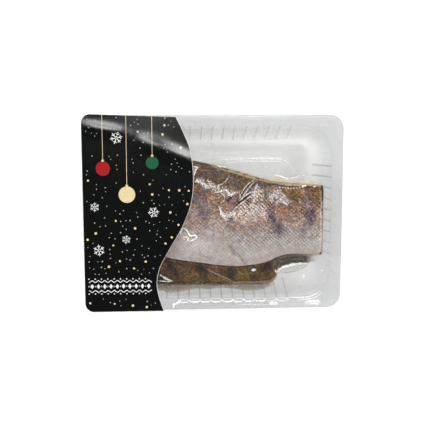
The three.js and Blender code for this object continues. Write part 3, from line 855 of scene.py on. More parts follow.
def lower_edge_fields(x, y, from_front, from_end, uneven):
    """The lower fillet's bare flesh along its front edge, with a dark line and dark spots beside it."""
    strip = 0.9 + 1.5 * smoothstep(x, 12, 20)
    strip_at = np.minimum(from_front, from_end + 0.3 + 4 * smoothstep(y, -49, -45))
    near_strip = 1 - smoothstep(np.abs(from_front - 1.3), 0.7, 1.5)
    spotted = smoothstep(noise(x, y, 2.2, 37), 0.1, 0.6) * near_strip * (1 - smoothstep(x, 8, 14))
    return {
        "flesh": 0.85 * (1 - smoothstep(strip_at + 0.25 * uneven, strip - 0.2, strip + 0.2)),
        "dark": np.maximum(1 - smoothstep(strip_at + 0.2 * uneven, 0.2, 0.55), 0.85 * spotted),
        "warm": np.zeros_like(x),
        "seam": np.zeros_like(x),
    }


def surface_fields(fillet, x, y, front, back):
    """What the skin shows at each point: its share across, and how much of each marking there is."""
    warp_x = x + layered_noise(x, y, (1.3, 3.1, 31), (2.0, 8, 32))
    warp_y = y + layered_noise(x, y, (1.3, 3.1, 33), (1.6, 8, 34))
    spots = UPPER_FIELDS if fillet is UPPER else LOWER_FIELDS
    fields = {name: patch(warp_x, warp_y, ovals) for name, ovals in spots.items()}
    fields["across"] = (y - front) / (back - front)
    fields["scaly"] = patch(warp_x, warp_y, SCALY)
    uneven = noise(x, y, 1.7, 35)
    from_end = fillet["right"] - x
    if fillet is UPPER:
        fields.update(upper_edge_fields(x, y, y - front, back - y, from_end, uneven))
        fields["pale"] = np.maximum(fields["pale"], fields.pop("end_strip"))
    else:
        fields.update(lower_edge_fields(x, y, y - front, from_end, uneven))
    return fields


# Film, juice and card
FILM_INSETS = [0.05, 0.5, 3, 5.5, 7.2, 7.7, 8.1, 8.4, 8.7, 9.0, 9.4, *np.arange(10.1, 71.7, 0.84)]
FILM_LONG_POINTS, FILM_SHORT_POINTS, FILM_CORNER_POINTS = 146, 94, 15
FILM_ROUNDEST = 0.6


def film_piece(material):
    """The film as a closed sheet from the tray's outline to the middle, on its own raster."""
    long_places = list(np.linspace(-STRAIGHT_X, STRAIGHT_X, FILM_LONG_POINTS)[1:-1])
    short_places = list(np.linspace(-STRAIGHT_Y, STRAIGHT_Y, FILM_SHORT_POINTS)[1:-1])
    places = stations(long_places, short_places, FILM_CORNER_POINTS)
    under = []
    for inset in FILM_INSETS:
        radius = min(float(profile_at(inset, RADIUS)), FILM_ROUNDEST * (HALF_WIDTH - inset))
        x, y, _, _ = rectangle_ring(inset, radius, places)
        under.append(points_at(x, y, sample(FILM_GRID, x, y)))
    under = np.array(under)
    over = under + np.array([0, 0, FILM_SHEET])
    points, faces = loft(np.concatenate([over[::-1], under]))
    return add_piece("film_sheet", points, faces, [material], ["film"])


POOL_DEPTH = 0.4
POOL_THINNEST = 0.08
POOL_BELOW_FILM = 0.05
POOL_EASE = 0.5
POOL_SQUARENESS = 8
POOL_FADE = 11


def pool_piece(name, low_x, high_x, front, back, fading, material, columns, rows):
    """Juice held under the film between two lines, thinner towards the front by a share and at its end. The
    dark brown pools are also painted shadow.
    """
    share_x = eased_share(columns, POOL_EASE)
    share_y = eased_share(rows, POOL_EASE)[None, :]
    x = np.repeat((low_x + (high_x - low_x) * share_x)[:, None], rows, 1)
    taper = np.repeat(np.sqrt(1 - (1.96 * share_x - 0.98) ** POOL_SQUARENESS)[:, None], rows, 1)
    middle = (front(x) + back(x)) / 2
    half = (back(x) - front(x)) / 2
    y = middle + half * (2 * share_y - 1) * taper
    border = np.clip(1 - np.abs(2 * share_y - 1) ** POOL_SQUARENESS, 0, 1) * taper
    border = border * (1 - smoothstep(x, high_x - POOL_FADE, high_x)) * (1 - fading + fading * share_y)
    top = sample(FILM_GRID, x, y) - POOL_BELOW_FILM
    bottom = top - POOL_THINNEST - POOL_DEPTH * border
    points, faces = loft(both_sides(points_at(x, y, top), points_at(x, y, bottom)))
    depth = both_sides(border, border)
    fields = {"depth": depth, "flecked": np.full_like(depth, fading)}
    return add_piece(name, points, faces, [material], fields=fields)


def strokes(*rows):
    """Strokes, each with its half width, its height and its points, from rows of plain numbers."""
    return [(half, tall, list(zip(line[::2], line[1::2]))) for half, tall, *line in rows]


# Painted highlights on the film, as low white ridges. Each is its half width, its height, and its points' x and
# y in turn
PAINTED_HIGHLIGHTS = strokes(
    (0.8, 0.5, 47.6, -47.2, 48.7, -46.6, 50.7, -44.9, 53.2, -43.3, 57.3, -42.3, 62.3, -41.3, 67.6, -41, 72.4,
     -41.1),
    (0.45, 0.3, 46.8, -44.5, 47.6, -46.4, 48.4, -48),
    (0.6, 0.3, -22.6, -10.1, -19.8, -12.5, -17.5, -16.4, -13.7, -16.2, -12.6, -17.4, -13.8, -19, -18, -20.7),
    (0.6, 0.3, -18, -20.7, -19.2, -19.5, -18.7, -17.8, -22.7, -17.3),
    (0.5, 0.3, -22.6, -10.6, -24.1, -12.9, -24.6, -15.3),
    (0.75, 0.3, -40, -47.1, -36.2, -49.8, -33, -51.6, -30.5, -52.4),
    (0.4, 0.25, -41.5, -52, -34.8, -52.6, -31, -52.4),
    (0.75, 0.3, 28.4, -44.3, 32.4, -44.2),
    (0.9, 0.15, -24.6, -64.6, -26.5, -66.5, -30, -68.2, -29.6, -70.6),
    (2.1, 0.15, 68.3, -68, 74.1, -67.9, 80, -68),
    (1.5, 0.12, 41.5, -67.8, 44.5, -68.3, 48, -68.5),
    (0.26, 0.15, 56.4, -64, 69.5, -63.8, 75.1, -62.2, 80.3, -59.2),
    (0.26, 0.15, 63, -66, 73.3, -64.8, 78, -62.8, 80.9, -60.6),
    (0.42, 0.2, 4.3, 37.6, 24.1, 38.25, 48, 38.3, 54.4, 36.9, 57.6, 34.8, 59.7, 31.2),
    (0.3, 0.2, 9.8, 35.2, 24.1, 35.9, 48, 36.1, 52.8, 35, 56.9, 33.2),
    (0.45, 0.3, -14.5, 33.9, -10.5, 33),
    (0.5, 0.3, -11, 33.2, -12.9, 30.9, -14.1, 27.1),
    (0.5, 0.25, 50.8, 25.3, 53.9, 24.3, 57.3, 23.3),
    (0.4, 0.25, 66.5, 18.5, 69.8, 18.9),
    (0.4, 0.25, 74.6, 18.2, 76.5, 18.9),
    (0.6, 0.15, 81.2, -44.8, 82.4, -44.8),
)
# Softer painted highlights, partly clear, tinted cream where they lie over the fish
SOFT_PAINTED_HIGHLIGHTS = strokes(
    (0.6, 0.25, -12.6, 24.1, -9.8, 22.8, -6.6, 21, -4.4, 18.9),
    (0.45, 0.2, -2.3, 19.3, 0.5, 19.3, 1.7, 18.4),
    (0.5, 0.2, 0.5, 15.1, 3.4, 15.3, 7.6, 16.4),
    (0.6, 0.2, 8.2, 16.8, 10.6, 15.6, 12.4, 13.4, 15.5, 14),
    (1.1, 0.2, 4.4, 3.6, 6, 0.4, 7.6, -2.6, 9, -5.6),
    (0.5, 0.2, 9.8, -3.4, 12, -1.2, 15, 0),
    (0.32, 0.25, 31.1, 23.7, 27.4, 21.3, 23.6, 17.8, 20.8, 13.6),
    (0.32, 0.25, 32.1, 22.9, 28.3, 19.7, 25.1, 15.9, 20.8, 10.8),
    (0.45, 0.25, 33.5, 20.8, 31.6, 17.3, 30.7, 14, 30.3, 9.7),
    (0.4, 0.25, 29.3, 14.8, 26, 13.7, 21.8, 10.6, 19.4, 8.7),
    (0.4, 0.25, 29.3, 13.4, 27.9, 12.1, 23.7, 8.9, 19.4, 5.9, 16.6, 3.6, 12.5, -0.5),
    (0.3, 0.25, 19.4, 15.5, 19.9, 12.2, 19.4, 9.8),
    (0.3, 0.2, 16.6, 14.1, 18.9, 15.5),
    (0.28, 0.2, 6.4, 21.2, 9, 22.6, 12.7, 26.8),
    (0.4, 0.2, 5.6, 14.7, 8, 12.3, 8.2, 9.4, 5.2, 7.1),
    (0.16, 0.15, -4.7, -43.5, 1.1, -46.5, 10.7, -51, 15.5, -53.6, 20.3, -54.6),
    (0.35, 0.2, 61.6, -43.6, 65.7, -42.6, 69.9, -42.1),
    (0.45, 0.2, 1, 35.5, 5.3, 34.5),
    (0.6, 0.2, 3.4, 33.6, 10.5, 32.6),
    (0.3, 0.2, 9.1, 36.4, 11, 35.4),
    (0.3, 0.2, 41.8, 25.6, 43.9, 27),
    (0.6, 0.2, 46.2, 25.9, 51, 25.3),
    (0.45, 0.2, 57.3, 23.3, 63.5, 24.2, 66.4, 25.4, 68.3, 27.6),
    (0.5, 0.2, 59.8, 25.8, 62.6, 27.7, 66, 28.6),
    (0.5, 0.2, 67.4, 25.2, 70.7, 25.4),
    (0.35, 0.15, 35.8, 32.8, 41.1, 31.8),
    (0.3, 0.15, 42.5, 33.4, 43, 31.7),
    (0.35, 0.1, 86.4, -69.7, 90, -64.6),
    (0.3, 0.1, 93, -62.3, 94.4, -60),
    (0.5, 0.1, 18, -68.8, 34, -69, 47.5, -69.2),
    (0.9, 0.2, 70.2, -48.4, 69.6, -50.5, 69.2, -54),
    (0.5, 0.2, 52.8, -44.6, 57.5, -43.6, 63, -42.9),
    (0.3, 0.15, 83.5, -33.2, 88.5, -35.6),
)
SHADES = strokes(
    (0.55, 0.04, 29.3, 21.6, 25.5, 18.8, 22.7, 15.5, 20.8, 12.2),
    (0.6, 0.04, 28.6, 14.1, 25.1, 11.8, 20.4, 8.7, 17.5, 6.3, 15.2, 4.2),
    (0.9, 0.04, 10, 8.6, 12, 10.2, 14.2, 12),
    (0.24, 0.04, 67.8, -46.4, 69.6, -44.6, 72.5, -42),
    (0.2, 0.04, 52, -47.4, 55, -48.2, 60, -47.9, 64.2, -47.1, 67.4, -46.3),
    (0.8, 0.04, 80.2, -31.2, 81, -32.2),
)
# Each swarm of glints is its middle line, its half width, how many there are and the way they run in degrees
GLINTS = [
    ([(-13.5, 33), (-13.5, 28)], 1.2, 6, 70),
    ([(-12.6, 24.1), (-9.8, 22.8), (-6.6, 21), (-4.4, 18.9)], 1.2, 24, -35),
    ([(-3.7, 23.2), (-2.3, 21.7), (0.5, 19.6)], 1.6, 12, 20),
    ([(1, 16), (3.4, 18.8), (6.2, 21.2)], 0.9, 12, 45),
    ([(0.5, 15.1), (3.4, 15.3), (7.6, 16.4)], 0.8, 10, 10),
    ([(8.2, 16.8), (10.6, 15.6), (12.4, 13.4), (15.5, 14)], 1.2, 18, -20),
    ([(4.4, 3.6), (6, 0.4), (7.6, -2.6), (9, -5.6)], 1.3, 9, -65),
    ([(9.8, -3.4), (12, -1.2), (15, 0)], 1.3, 7, 40),
]
SOFT_GLINTS = [
    ([(-12.6, 24.1), (-9.8, 22.8), (-4.4, 18.9), (1, 18)], 1.8, 18, -30),
    ([(2, 16), (7.6, 17), (15.5, 14)], 1.7, 12, 0),
    ([(4.4, 3.6), (7.6, -2.6), (12, -4)], 2.1, 14, -50),
    ([(24, 8), (34, 2), (42, -4)], 5.0, 26, 40),
    ([(26, -4), (36, 12)], 5.0, 20, -45),
    ([(48, 13), (54, 8)], 3.0, 10, -45),
]
GLINT_HEIGHT = 0.15
GLINT_SPREAD = 28
GLINT_REACH = (0.3, 0.9)
STROKE_STEP = 0.45
STROKE_TAIL = 0.03
STROKE_RAGGED = 0.55
STROKE_ACROSS = np.linspace(-1, 1, 5)
STROKE_BELOW = 0.04


def resampled(points, step):
    """Points a step apart on a smooth curve through the given ones."""
    points = np.array(points, float)
    padded = np.concatenate([[2 * points[0] - points[1]], points, [2 * points[-1] - points[-2]]])
    made = []
    for p0, p1, p2, p3 in zip(padded, padded[1:], padded[2:], padded[3:]):
        count = max(2, round(math.dist(p1, p2) / step))
        for t in np.arange(count) / count:
            made.append((2 * p1 + (p2 - p0) * t + (2 * p0 - 5 * p1 + 4 * p2 - p3) * t**2
                         + (3 * p1 - p0 - 3 * p2 + p3) * t**3) / 2)
    return np.array(made + [points[-1]])


def glints(swarms, seed, thin, wide):
    """Painted glints: short bright flecks strewn along lines, as light thrown back by finely crumpled film."""
    draw = np.random.default_rng(seed)
    flecks = []
    for line, half, count, turn in swarms:
        line = resampled(line, 0.5)
        for _ in range(count):
            middle = line[draw.integers(len(line))] + draw.uniform(-half, half, 2)
            heading = math.radians(turn + draw.normal(0, GLINT_SPREAD))
            reach = draw.uniform(*GLINT_REACH) * np.array([math.cos(heading), math.sin(heading)])
            flecks.append((draw.uniform(thin, wide), GLINT_HEIGHT, [middle - reach, middle + reach]))
    return flecks


def painted_stroke_piece(name, painted_strokes, material):
    """Strokes laid on the film as low ridges pointed at both ends, which carry painted highlights and painted
    shade.
    """
    points, faces, over_fish, passed = [], [], [], 0
    for half, tall, line in painted_strokes:
        line = resampled(line, STROKE_STEP)
        heading = np.gradient(line, axis=0)
        heading /= np.linalg.norm(heading, axis=1)[:, None]
        sideways = np.stack([-heading[:, 1], heading[:, 0]], -1)
        along = np.linspace(0, 1, len(line))
        width = half * np.sqrt(hump(along, STROKE_TAIL))
        width = width * (1 + STROKE_RAGGED * noise(line[:, 0], line[:, 1], 1.1, 41))
        across = STROKE_ACROSS[None, :, None]
        place = line[:, None, :] + sideways[:, None, :] * width[:, None, None] * across
        x, y = place[..., 0], place[..., 1]
        film = sample(FILM_GRID, x, y) + FILM_SHEET
        rise = tall * (width / half)[:, None] * (1 - STROKE_ACROSS[None, :] ** 2)
        made, quads = loft(both_sides(points_at(x, y, film + rise), points_at(x, y, film - STROKE_BELOW)))
        points.append(made)
        faces.append(quads + passed)
        over_fish.append(smoothstep(sample(FISH_GRID, made[:, 0], made[:, 1]), 0, 6))
        passed += len(made)
    return add_piece(name, np.concatenate(points), np.concatenate(faces), [material],
                     fields={"over_fish": np.concatenate(over_fish)})


CARD_LOW, CARD_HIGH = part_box("card")
CARD_ROWS, CARD_COLUMNS = 150, 56
CARD_EASE = 0.85
CARD_SHEET = 0.5
CARD_CORNER = 6.5
CARD_DOME = 1.4
CARD_DOME_REACH = 60
CARD_EDGE = 0.36
CARD_EDGE_SHARPNESS = 12
CARD_BACK_SLANT = 2.2
CARD_SLANT_REACH = 30
CARD_BUCKLES = strokes((6, 0.85, -58, 54.5, -40, 48.8, -6, 33.6), (4.5, 0.62, -102, 65.5, -62, 58.5))
CARD_WAVE = curve_through(
    (-72.3, -37), (-60, -40.8), (-50, -41.9), (-38.8, -39.4), (-24.7, -31.9), (-8.4, -22.6),
    (8.6, -16.4), (26, -14.7), (46.5, -16.8), (63.8, -22.8), (73, -27))
CARD_LEFT = CARD_LOW.x / MM
CARD_FRONT = CARD_LOW.y / MM
CARD_BACK = CARD_HIGH.y / MM
CARD_UNDER = CARD_LOW.z / MM


def card_under(x, y):
    """The height of the card's underside, domed between the flanges and buckled towards its back corners."""
    over_cavity = np.maximum(1 - (y / HALF_WIDTH) ** 2, 0)
    height = CARD_UNDER + CARD_DOME * over_cavity * smoothstep(x, CARD_LEFT, CARD_LEFT + CARD_DOME_REACH)
    for half, tall, line in CARD_BUCKLES:
        distance, along = line_distance(x, y, line)
        height = height + tall * bell(distance, half) * hump(np.clip(along, 0.02, 0.98), 0) ** 0.6
    return height


def card_left(y):
    """The card's left outline, drawn in at its two round corners."""
    from_end = np.maximum(np.minimum(y - CARD_FRONT, CARD_BACK - y), 0.05)
    return CARD_LEFT + CARD_CORNER * (1 - quarter_round(from_end, CARD_CORNER))


def card_piece(printed, raw):
    """The card: its printed face, its raw underside and the pale cut edge between them."""
    y = CARD_FRONT + (CARD_BACK - CARD_FRONT) * eased_share(CARD_ROWS, CARD_EASE)
    left, right = card_left(y), CARD_WAVE(y)
    share = np.linspace(0, 1, CARD_COLUMNS)[None, :]
    x = left[:, None] + (right - left)[:, None] * share
    y = np.repeat(y[:, None], CARD_COLUMNS, 1)
    slanted = smoothstep(y, CARD_BACK - CARD_SLANT_REACH, CARD_BACK) * np.clip((x + 90) / 60, 0, 1)
    y = y - CARD_BACK_SLANT * slanted
    under = card_under(x, y)
    over = points_at(x - CARD_EDGE * share**CARD_EDGE_SHARPNESS, y, under + CARD_SHEET)
    points, faces = loft(both_sides(over, points_at(x, y, under)))
    on_top = (faces % (2 * CARD_COLUMNS) < CARD_COLUMNS).all(1)
    return add_piece("card_sheet", points, faces, [printed, raw], ["card"],
                     material_of_face=np.where(on_top, 0, 1), sharp=40)


# Print on the card: plain shapes, each a thin plate that lies on the dome
INK_ABOVE = 0.04
INK_BELOW = 0.05
DOT_SIDES = 8


def disc(x, y, radius, sides=DOT_SIDES):
    turns = 2 * math.pi * np.arange(sides) / sides
    return np.stack([x + radius * np.cos(turns), y + radius * np.sin(turns)], -1)


def bar(start, end, width):
    """A rectangle round the line from start to end."""
    (ax, ay), (bx, by) = start, end
    length = math.dist(start, end)
    nx, ny = (ay - by) / length * width / 2, (bx - ax) / length * width / 2
    return np.array([(ax - nx, ay - ny), (bx - nx, by - ny), (bx + nx, by + ny), (ax + nx, ay + ny)])


def diamond(x, y, half_x, half_y):
    return np.array([(x - half_x, y), (x, y - half_y), (x + half_x, y), (x, y + half_y)])


def snowflake(x, y, radius, turn):
    """Six arms, each with a pair of side branches."""
    shapes = []
    for arm in range(6):
        angle = turn + arm * math.pi / 3
        along = np.array([math.cos(angle), math.sin(angle)])
        centre = np.array([x, y])
        shapes.append(bar(centre + 0.12 * radius * along, centre + radius * along, 0.13 * radius))
        fork = centre + 0.55 * radius * along
        for side in (-1, 1):
            branch = np.array([math.cos(angle + side * math.pi / 3.4), math.sin(angle + side * math.pi / 3.4)])
            shapes.append(bar(fork, fork + 0.36 * radius * branch, 0.11 * radius))
    return shapes


def print_piece(name, shapes, material):
    """Plates of one ink on the card, given as convex outlines on plan, anticlockwise."""
    points, faces = [], []
    for shape in shapes:
        shape = np.asarray(shape, float)
        count, first = len(shape), len(points)
        top = card_under(shape[:, 0], shape[:, 1]) + CARD_SHEET
        points += [(x, y, z + INK_ABOVE) for (x, y), z in zip(shape, top)]
        points += [(x, y, z - INK_BELOW) for (x, y), z in zip(shape, top)]
        faces.append(range(first, first + count))
        faces.append(range(first + 2 * count - 1, first + count - 1, -1))
        for k in range(count):
            after = (k + 1) % count
            faces.append((first + k, first + count + k, first + count + after, first + after))
    return add_piece(name, points, faces, [material], sharp=30)


# Materials
WHITE = (1, 1, 1, 1)


def grey(level):
    return (level, level, level, 1)


def new_material(name):
    """A material with no nodes yet, and its tree."""
    material = bpy.data.materials.new(name)
    material.use_nodes = True
    material.node_tree.nodes.clear()
    return material, material.node_tree


def add_node(tree, kind, inputs=None, **settings):
    """A node with its settings, and its inputs given as values or as the sockets that feed them."""
    made = tree.nodes.new(kind)
    for setting, value in settings.items():
        setattr(made, setting, value)
    for place, value in (inputs or {}).items():
        if isinstance(value, bpy.types.NodeSocket):
            tree.links.new(value, made.inputs[place])
        else:
            made.inputs[place].default_value = value
    return made


def maths(tree, operation, first, second=0.0, clamp=False):
    inputs = {0: first, 1: second}
    return add_node(tree, "ShaderNodeMath", inputs, operation=operation, use_clamp=clamp).outputs[0]


def product(tree, first, *others, clamp=False):
    """Shares multiplied together, the result held between 0 and 1 if that is asked for."""
    for count, other in enumerate(others, 1):
        first = maths(tree, "MULTIPLY", first, other, clamp and count == len(others))
    return first


def blended(tree, share, first, second, mode="MIX"):
    """Two colours mixed by a share."""
    inputs = {0: share, 6: first, 7: second}
    return add_node(tree, "ShaderNodeMix", inputs, data_type="RGBA", blend_type=mode).outputs[2]


def toned(tree, colour, factor, share=1.0):
    """A colour multiplied by a factor's colour, by a share."""
    return blended(tree, share, colour, factor, "MULTIPLY")


def ramp(tree, share, *stops):
    """Colours or greys by place along 0 to 1."""
    made = add_node(tree, "ShaderNodeValToRGB", {0: share})
    elements = made.color_ramp.elements
    while len(elements) < len(stops):
        elements.new(0.5)
    for element, (place, colour) in zip(elements, stops):
        element.position = place
        element.color = colour if isinstance(colour, tuple) else grey(colour)
    return made.outputs[0]


def millimetres(tree, stretch=(1, 1, 1), turn=0.0):
    """The place on the object in millimetres, turned about the vertical and stretched."""
    place = add_node(tree, "ShaderNodeTexCoord").outputs["Object"]
    turned = add_node(tree, "ShaderNodeMapping", {0: place, 2: (0, 0, math.radians(turn))}).outputs[0]
    scales = tuple(factor / MM for factor in stretch)
    return add_node(tree, "ShaderNodeMapping", {0: turned, 3: scales}).outputs[0]


def grain(tree, size, detail=2.0, rough=0.5, stretch=(1, 1, 1), turn=0.0):
    """Noise from 0 to 1 with lumps of about the size."""
    place = millimetres(tree, stretch, turn)
    inputs = {"Vector": place, "Scale": 1 / size, "Detail": detail, "Roughness": rough}
    return add_node(tree, "ShaderNodeTexNoise", inputs).outputs[0]


def grained(tree, size, detail, rough, *stops):
    """Colours or greys in grain of about the size."""
    return ramp(tree, grain(tree, size, detail, rough), *stops)


def lines(tree, pitch, turn, wobble, wobble_size):
    """Parallel lines from 0 to 1, a pitch apart, which stray from straight."""
    scale = math.pi / 10 / pitch
    inputs = {
        "Vector": millimetres(tree, turn=turn), "Scale": scale, "Distortion": wobble,
        "Detail": 1.0, "Detail Scale": wobble_size / scale / 10,
    }
    return add_node(tree, "ShaderNodeTexWave", inputs, wave_type="BANDS", bands_direction="X").outputs[1]


def field(tree, name):
    """The values that a mesh holds under a name."""
    return add_node(tree, "ShaderNodeAttribute", attribute_name=name).outputs["Fac"]


def bump(tree, height, strength, depth, normal=None):
    """A normal that follows a height, on top of another normal if one is given."""
    inputs = {"Height": height, "Strength": strength, "Distance": depth * MM}
    if normal:
        inputs["Normal"] = normal
    return add_node(tree, "ShaderNodeBump", inputs).outputs[0]


def surface(tree, kind, inputs):
    """What a surface shader of a kind gives."""
    return add_node(tree, "ShaderNodeBsdf" + kind, inputs).outputs[0]


def mixed(tree, share, first, second):
    """Two shaders mixed by a share."""
    return add_node(tree, "ShaderNodeMixShader", {0: share, 1: first, 2: second}).outputs[0]


def finished(material, tree, shader):
    add_node(tree, "ShaderNodeOutputMaterial", {"Surface": shader})
    return material


def clear_sheet(material, tree, tint, haze, haze_colour, straight_on, roughness, normal):
    """A clear sheet: it tints and scatters light, and the flatter it is seen the more it mirrors."""
    clear, cloudy = surface(tree, "Transparent", {0: tint}), surface(tree, "Diffuse", {0: haze_colour})
    gloss = surface(tree, "Anisotropic", {"Color": WHITE, "Roughness": roughness, "Normal": normal})
    facing = add_node(tree, "ShaderNodeLayerWeight", {"Blend": 0.5}).outputs["Facing"]
    grazing = product(tree, maths(tree, "POWER", facing, 5.0), 1 - straight_on)
    mirrored = maths(tree, "ADD", grazing, straight_on)
    return finished(material, tree, mixed(tree, mirrored, mixed(tree, haze, clear, cloudy), gloss))


def tray_material():
    """Clear moulded plastic, greyed by painted shade where it is bent sharply and clearer on some sides by
    painted light, with a faint draw of the mould in it.
    """
    material, tree = new_material("clear_tray_plastic")
    # Tinted by how clear the sheet is, with painted light on some sides, then greyed by painted shade along
    # sharp bends
    drawn = blended(tree, field(tree, "drawn"), (0.775, 0.778, 0.777, 1), (0.925, 0.928, 0.922, 1))
    tint = blended(tree, field(tree, "edge"), drawn, grey(0.5))
    haze = grained(tree, 5, 3, 0.5, (0.3, 0.045), (0.75, 0.07))
    waviness = bump(tree, grain(tree, 11, 1), 0.25, 0.1, bump(tree, grain(tree, 0.5), 0.05, 0.02))
    return clear_sheet(material, tree, tint, haze, (0.85, 0.86, 0.86, 1), 0.01, 0.2, waviness)


def film_material():
    """Thin clear film, drawn tight, with fine stretch marks."""
    material, tree = new_material("clear_film")
    haze = ramp(tree, grain(tree, 2.5, 3, 0.6, (0.5, 1, 1), 20), (0.4, 0.002), (0.8, 0.012))
    stretch = bump(tree, grain(tree, 3.5), 0.3, 0.1)
    return clear_sheet(material, tree, grey(0.985), haze, grey(0.9), 0.008, 0.24, stretch)


def painted_highlight_material(name, colour, covering, shine, over_fish=None):
    """Painted highlight on the film: a pale colour broken by grain into clear gaps, with some gloss, and a tint
    over the fish if one is given.
    """
    material, tree = new_material(name)
    if over_fish:
        colour = blended(tree, field(tree, "over_fish"), colour, over_fish)
    share = grained(tree, 1.2, 3, 0.6, (0.38, covering[0]), (0.56, covering[1]))
    body = mixed(tree, share, surface(tree, "Transparent", {0: WHITE}), surface(tree, "Diffuse", {0: colour}))
    gloss = surface(tree, "Anisotropic", {"Color": WHITE, "Roughness": 0.35})
    return finished(material, tree, mixed(tree, shine, body, gloss))


def shade_material():
    """The shadow that shows through where a pleat of the film lies close to what is under it."""
    material, tree = new_material("shaded_pleat")
    tone = grained(tree, 2, 2, 0.5, (0.3, seen(58, 42, 34)), (0.7, seen(92, 72, 60)))
    share = grained(tree, 1.4, 2, 0.5, (0.35, 0.15), (0.62, 0.6))
    clear, brown = surface(tree, "Transparent", {0: WHITE}), surface(tree, "Diffuse", {0: tone})
    return finished(material, tree, mixed(tree, share, clear, brown))


SCALE_ROWS = [(2.0, -47), (2.2, 50)]
SCALE_WOBBLE = (3.7, 3.0)


def scales_of_skin(tree):
    """Scales in fine broken diagonal rows, 0 between them and 1 on them."""
    rows, crossing = (lines(tree, *row, *SCALE_WOBBLE) for row in SCALE_ROWS)
    rows = toned(tree, rows, ramp(tree, crossing, (0.15, 0.3), (0.6, 1.0)))
    streaks = ramp(tree, grain(tree, 1.5, 2, 0.6, (1, 0.4, 1), SCALE_ROWS[0][1]), (0.34, 0.0), (0.66, 1.0))
    return blended(tree, grained(tree, 3.0, 2, 0.6, (0.36, 0.28), (0.6, 0.95)), streaks, rows)


def skin_material(name, across, mottled, shades, grit, plain, scaly):
    """Wet fish skin, coloured across the fillet and marked by its fields, with bare flesh where it ends.

    It takes the colours across, how mottled it is across, the shade and strength of each field, the greys of
    its finest grain, and how strongly its scales show on plain and on scaly skin.
    """
    material, tree = new_material(name)
    drift = product(tree, maths(tree, "SUBTRACT", grain(tree, 9, 4, 0.6), 0.5), 0.3)
    colour = ramp(tree, maths(tree, "ADD", field(tree, "across"), drift), *across)
    ragged = grained(tree, 1.8, 4, 0.75, (0.34, 0.3), (0.6, 1.4))
    for spot, shade, strength in shades:
        colour = blended(tree, product(tree, field(tree, spot), ragged, strength, clamp=True), colour, shade)

    brown = ramp(tree, field(tree, "across"), *mottled)
    unscaled = maths(tree, "SUBTRACT", 1.0, product(tree, field(tree, "scaly"), 0.55))
    fine = grained(tree, 1.6, 3, 0.8, *grit)
    broad = grained(tree, 3.6, 3, 0.6, (0.36, 0.72), (0.5, 1.0), (0.64, 1.25))
    tints = grained(tree, 5, 3, 0.6, (0.38, (1.12, 1.0, 0.84, 1)), (0.6, (0.94, 0.97, 1.12, 1)))
    colour = toned(tree, colour, fine, product(tree, brown, unscaled))
    colour = toned(tree, colour, broad, ramp(tree, brown, (0.15, 0.45), (0.75, 1.0)))
    colour = toned(tree, colour, tints, ramp(tree, brown, (0.15, 0.2), (0.75, 1.0)))

    scales = scales_of_skin(tree)
    on_plain = ramp(tree, scales, (0.0, 1 - plain), (0.6, 1 + plain))
    # The bright side of the rows on scaly skin is partly painted sparkle, the light thrown back by the scales
    on_scaly = ramp(tree, scales, (0.08, 1 - scaly), (0.4, 0.85), (0.75, 1 + 1.3 * scaly))
    patches = grained(tree, 4.5, 2, 0.5, (0.38, 0.6), (0.6, 1.3))
    patchy = product(tree, field(tree, "scaly"), patches, clamp=True)
    colour = toned(tree, colour, blended(tree, patchy, on_plain, on_scaly))

    freckles = product(tree, grained(tree, 1.8, 2, 0.6, (0.57, 0.0), (0.66, 1.0)), brown, 0.6)
    warm = product(tree, field(tree, "warm"), grained(tree, 3, 2, 0.5, (0.35, 0.1), (0.6, 0.6)))
    flesh = grained(tree, 1.5, 3, 0.5, (0.3, seen(126, 110, 82)), (0.7, seen(170, 154, 124)))
    for share, tone in (
        (freckles, seen(58, 44, 34)), (warm, seen(186, 164, 146)), (field(tree, "flesh"), flesh),
        (field(tree, "dark"), seen(52, 40, 28)), (field(tree, "seam"), seen(58, 24, 14)),
    ):
        colour = blended(tree, share, colour, tone)
    return finished(material, tree, surface(tree, "Principled", {
        "Base Color": colour, "Roughness": grained(tree, 2, 2, 0.5, (0.3, 0.4), (0.7, 0.6)),
        "Specular IOR Level": 0.15,
        "Normal": bump(tree, scales, 0.8, 0.2, bump(tree, grain(tree, 3, 3), 0.4, 0.25)),
    }))


def juice_material(name, deep, shallow, thickness):
    """Juice with small pale flecks, deeper coloured where it is deep; the dark brown juice is partly painted
    shadow.
    """
    material, tree = new_material(name)
    depth = field(tree, "depth")
    cells = add_node(tree, "ShaderNodeTexVoronoi", {"Vector": millimetres(tree), "Scale": 0.42})
    flecks = ramp(tree, cells.outputs["Distance"], (0.13, 1.0), (0.19, 0.0))
    flecks = product(tree, flecks, field(tree, "flecked"))
    colour = blended(tree, flecks, grained(tree, 3, 3, 0.5, (0.3, deep), (0.7, shallow)), linear(216, 206, 188))
    share = maths(tree, "MAXIMUM", product(tree, depth, thickness, clamp=True), product(tree, flecks, depth))
    clear = surface(tree, "Transparent", {0: (0.99, 0.98, 0.97, 1)})
    body = surface(tree, "Principled", {"Base Color": colour, "Roughness": 0.6, "Specular IOR Level": 0.1})
    return finished(material, tree, mixed(tree, share, clear, body))


def ink_material(name, light, deep, roughness=0.2):
    """Printed ink: two close shades in fine grain, glossy as the card."""
    material, tree = new_material(name)
    return finished(material, tree, surface(tree, "Principled", {
        "Base Color": grained(tree, 0.6, 3, 0.5, (0.3, linear(*deep)), (0.7, linear(*light))),
        "Roughness": roughness, "Specular IOR Level": 0.4,
        "Normal": bump(tree, grain(tree, 6, 2), 0.25, 0.1, bump(tree, grain(tree, 1.4, 2), 0.3, 0.03)),
    }))


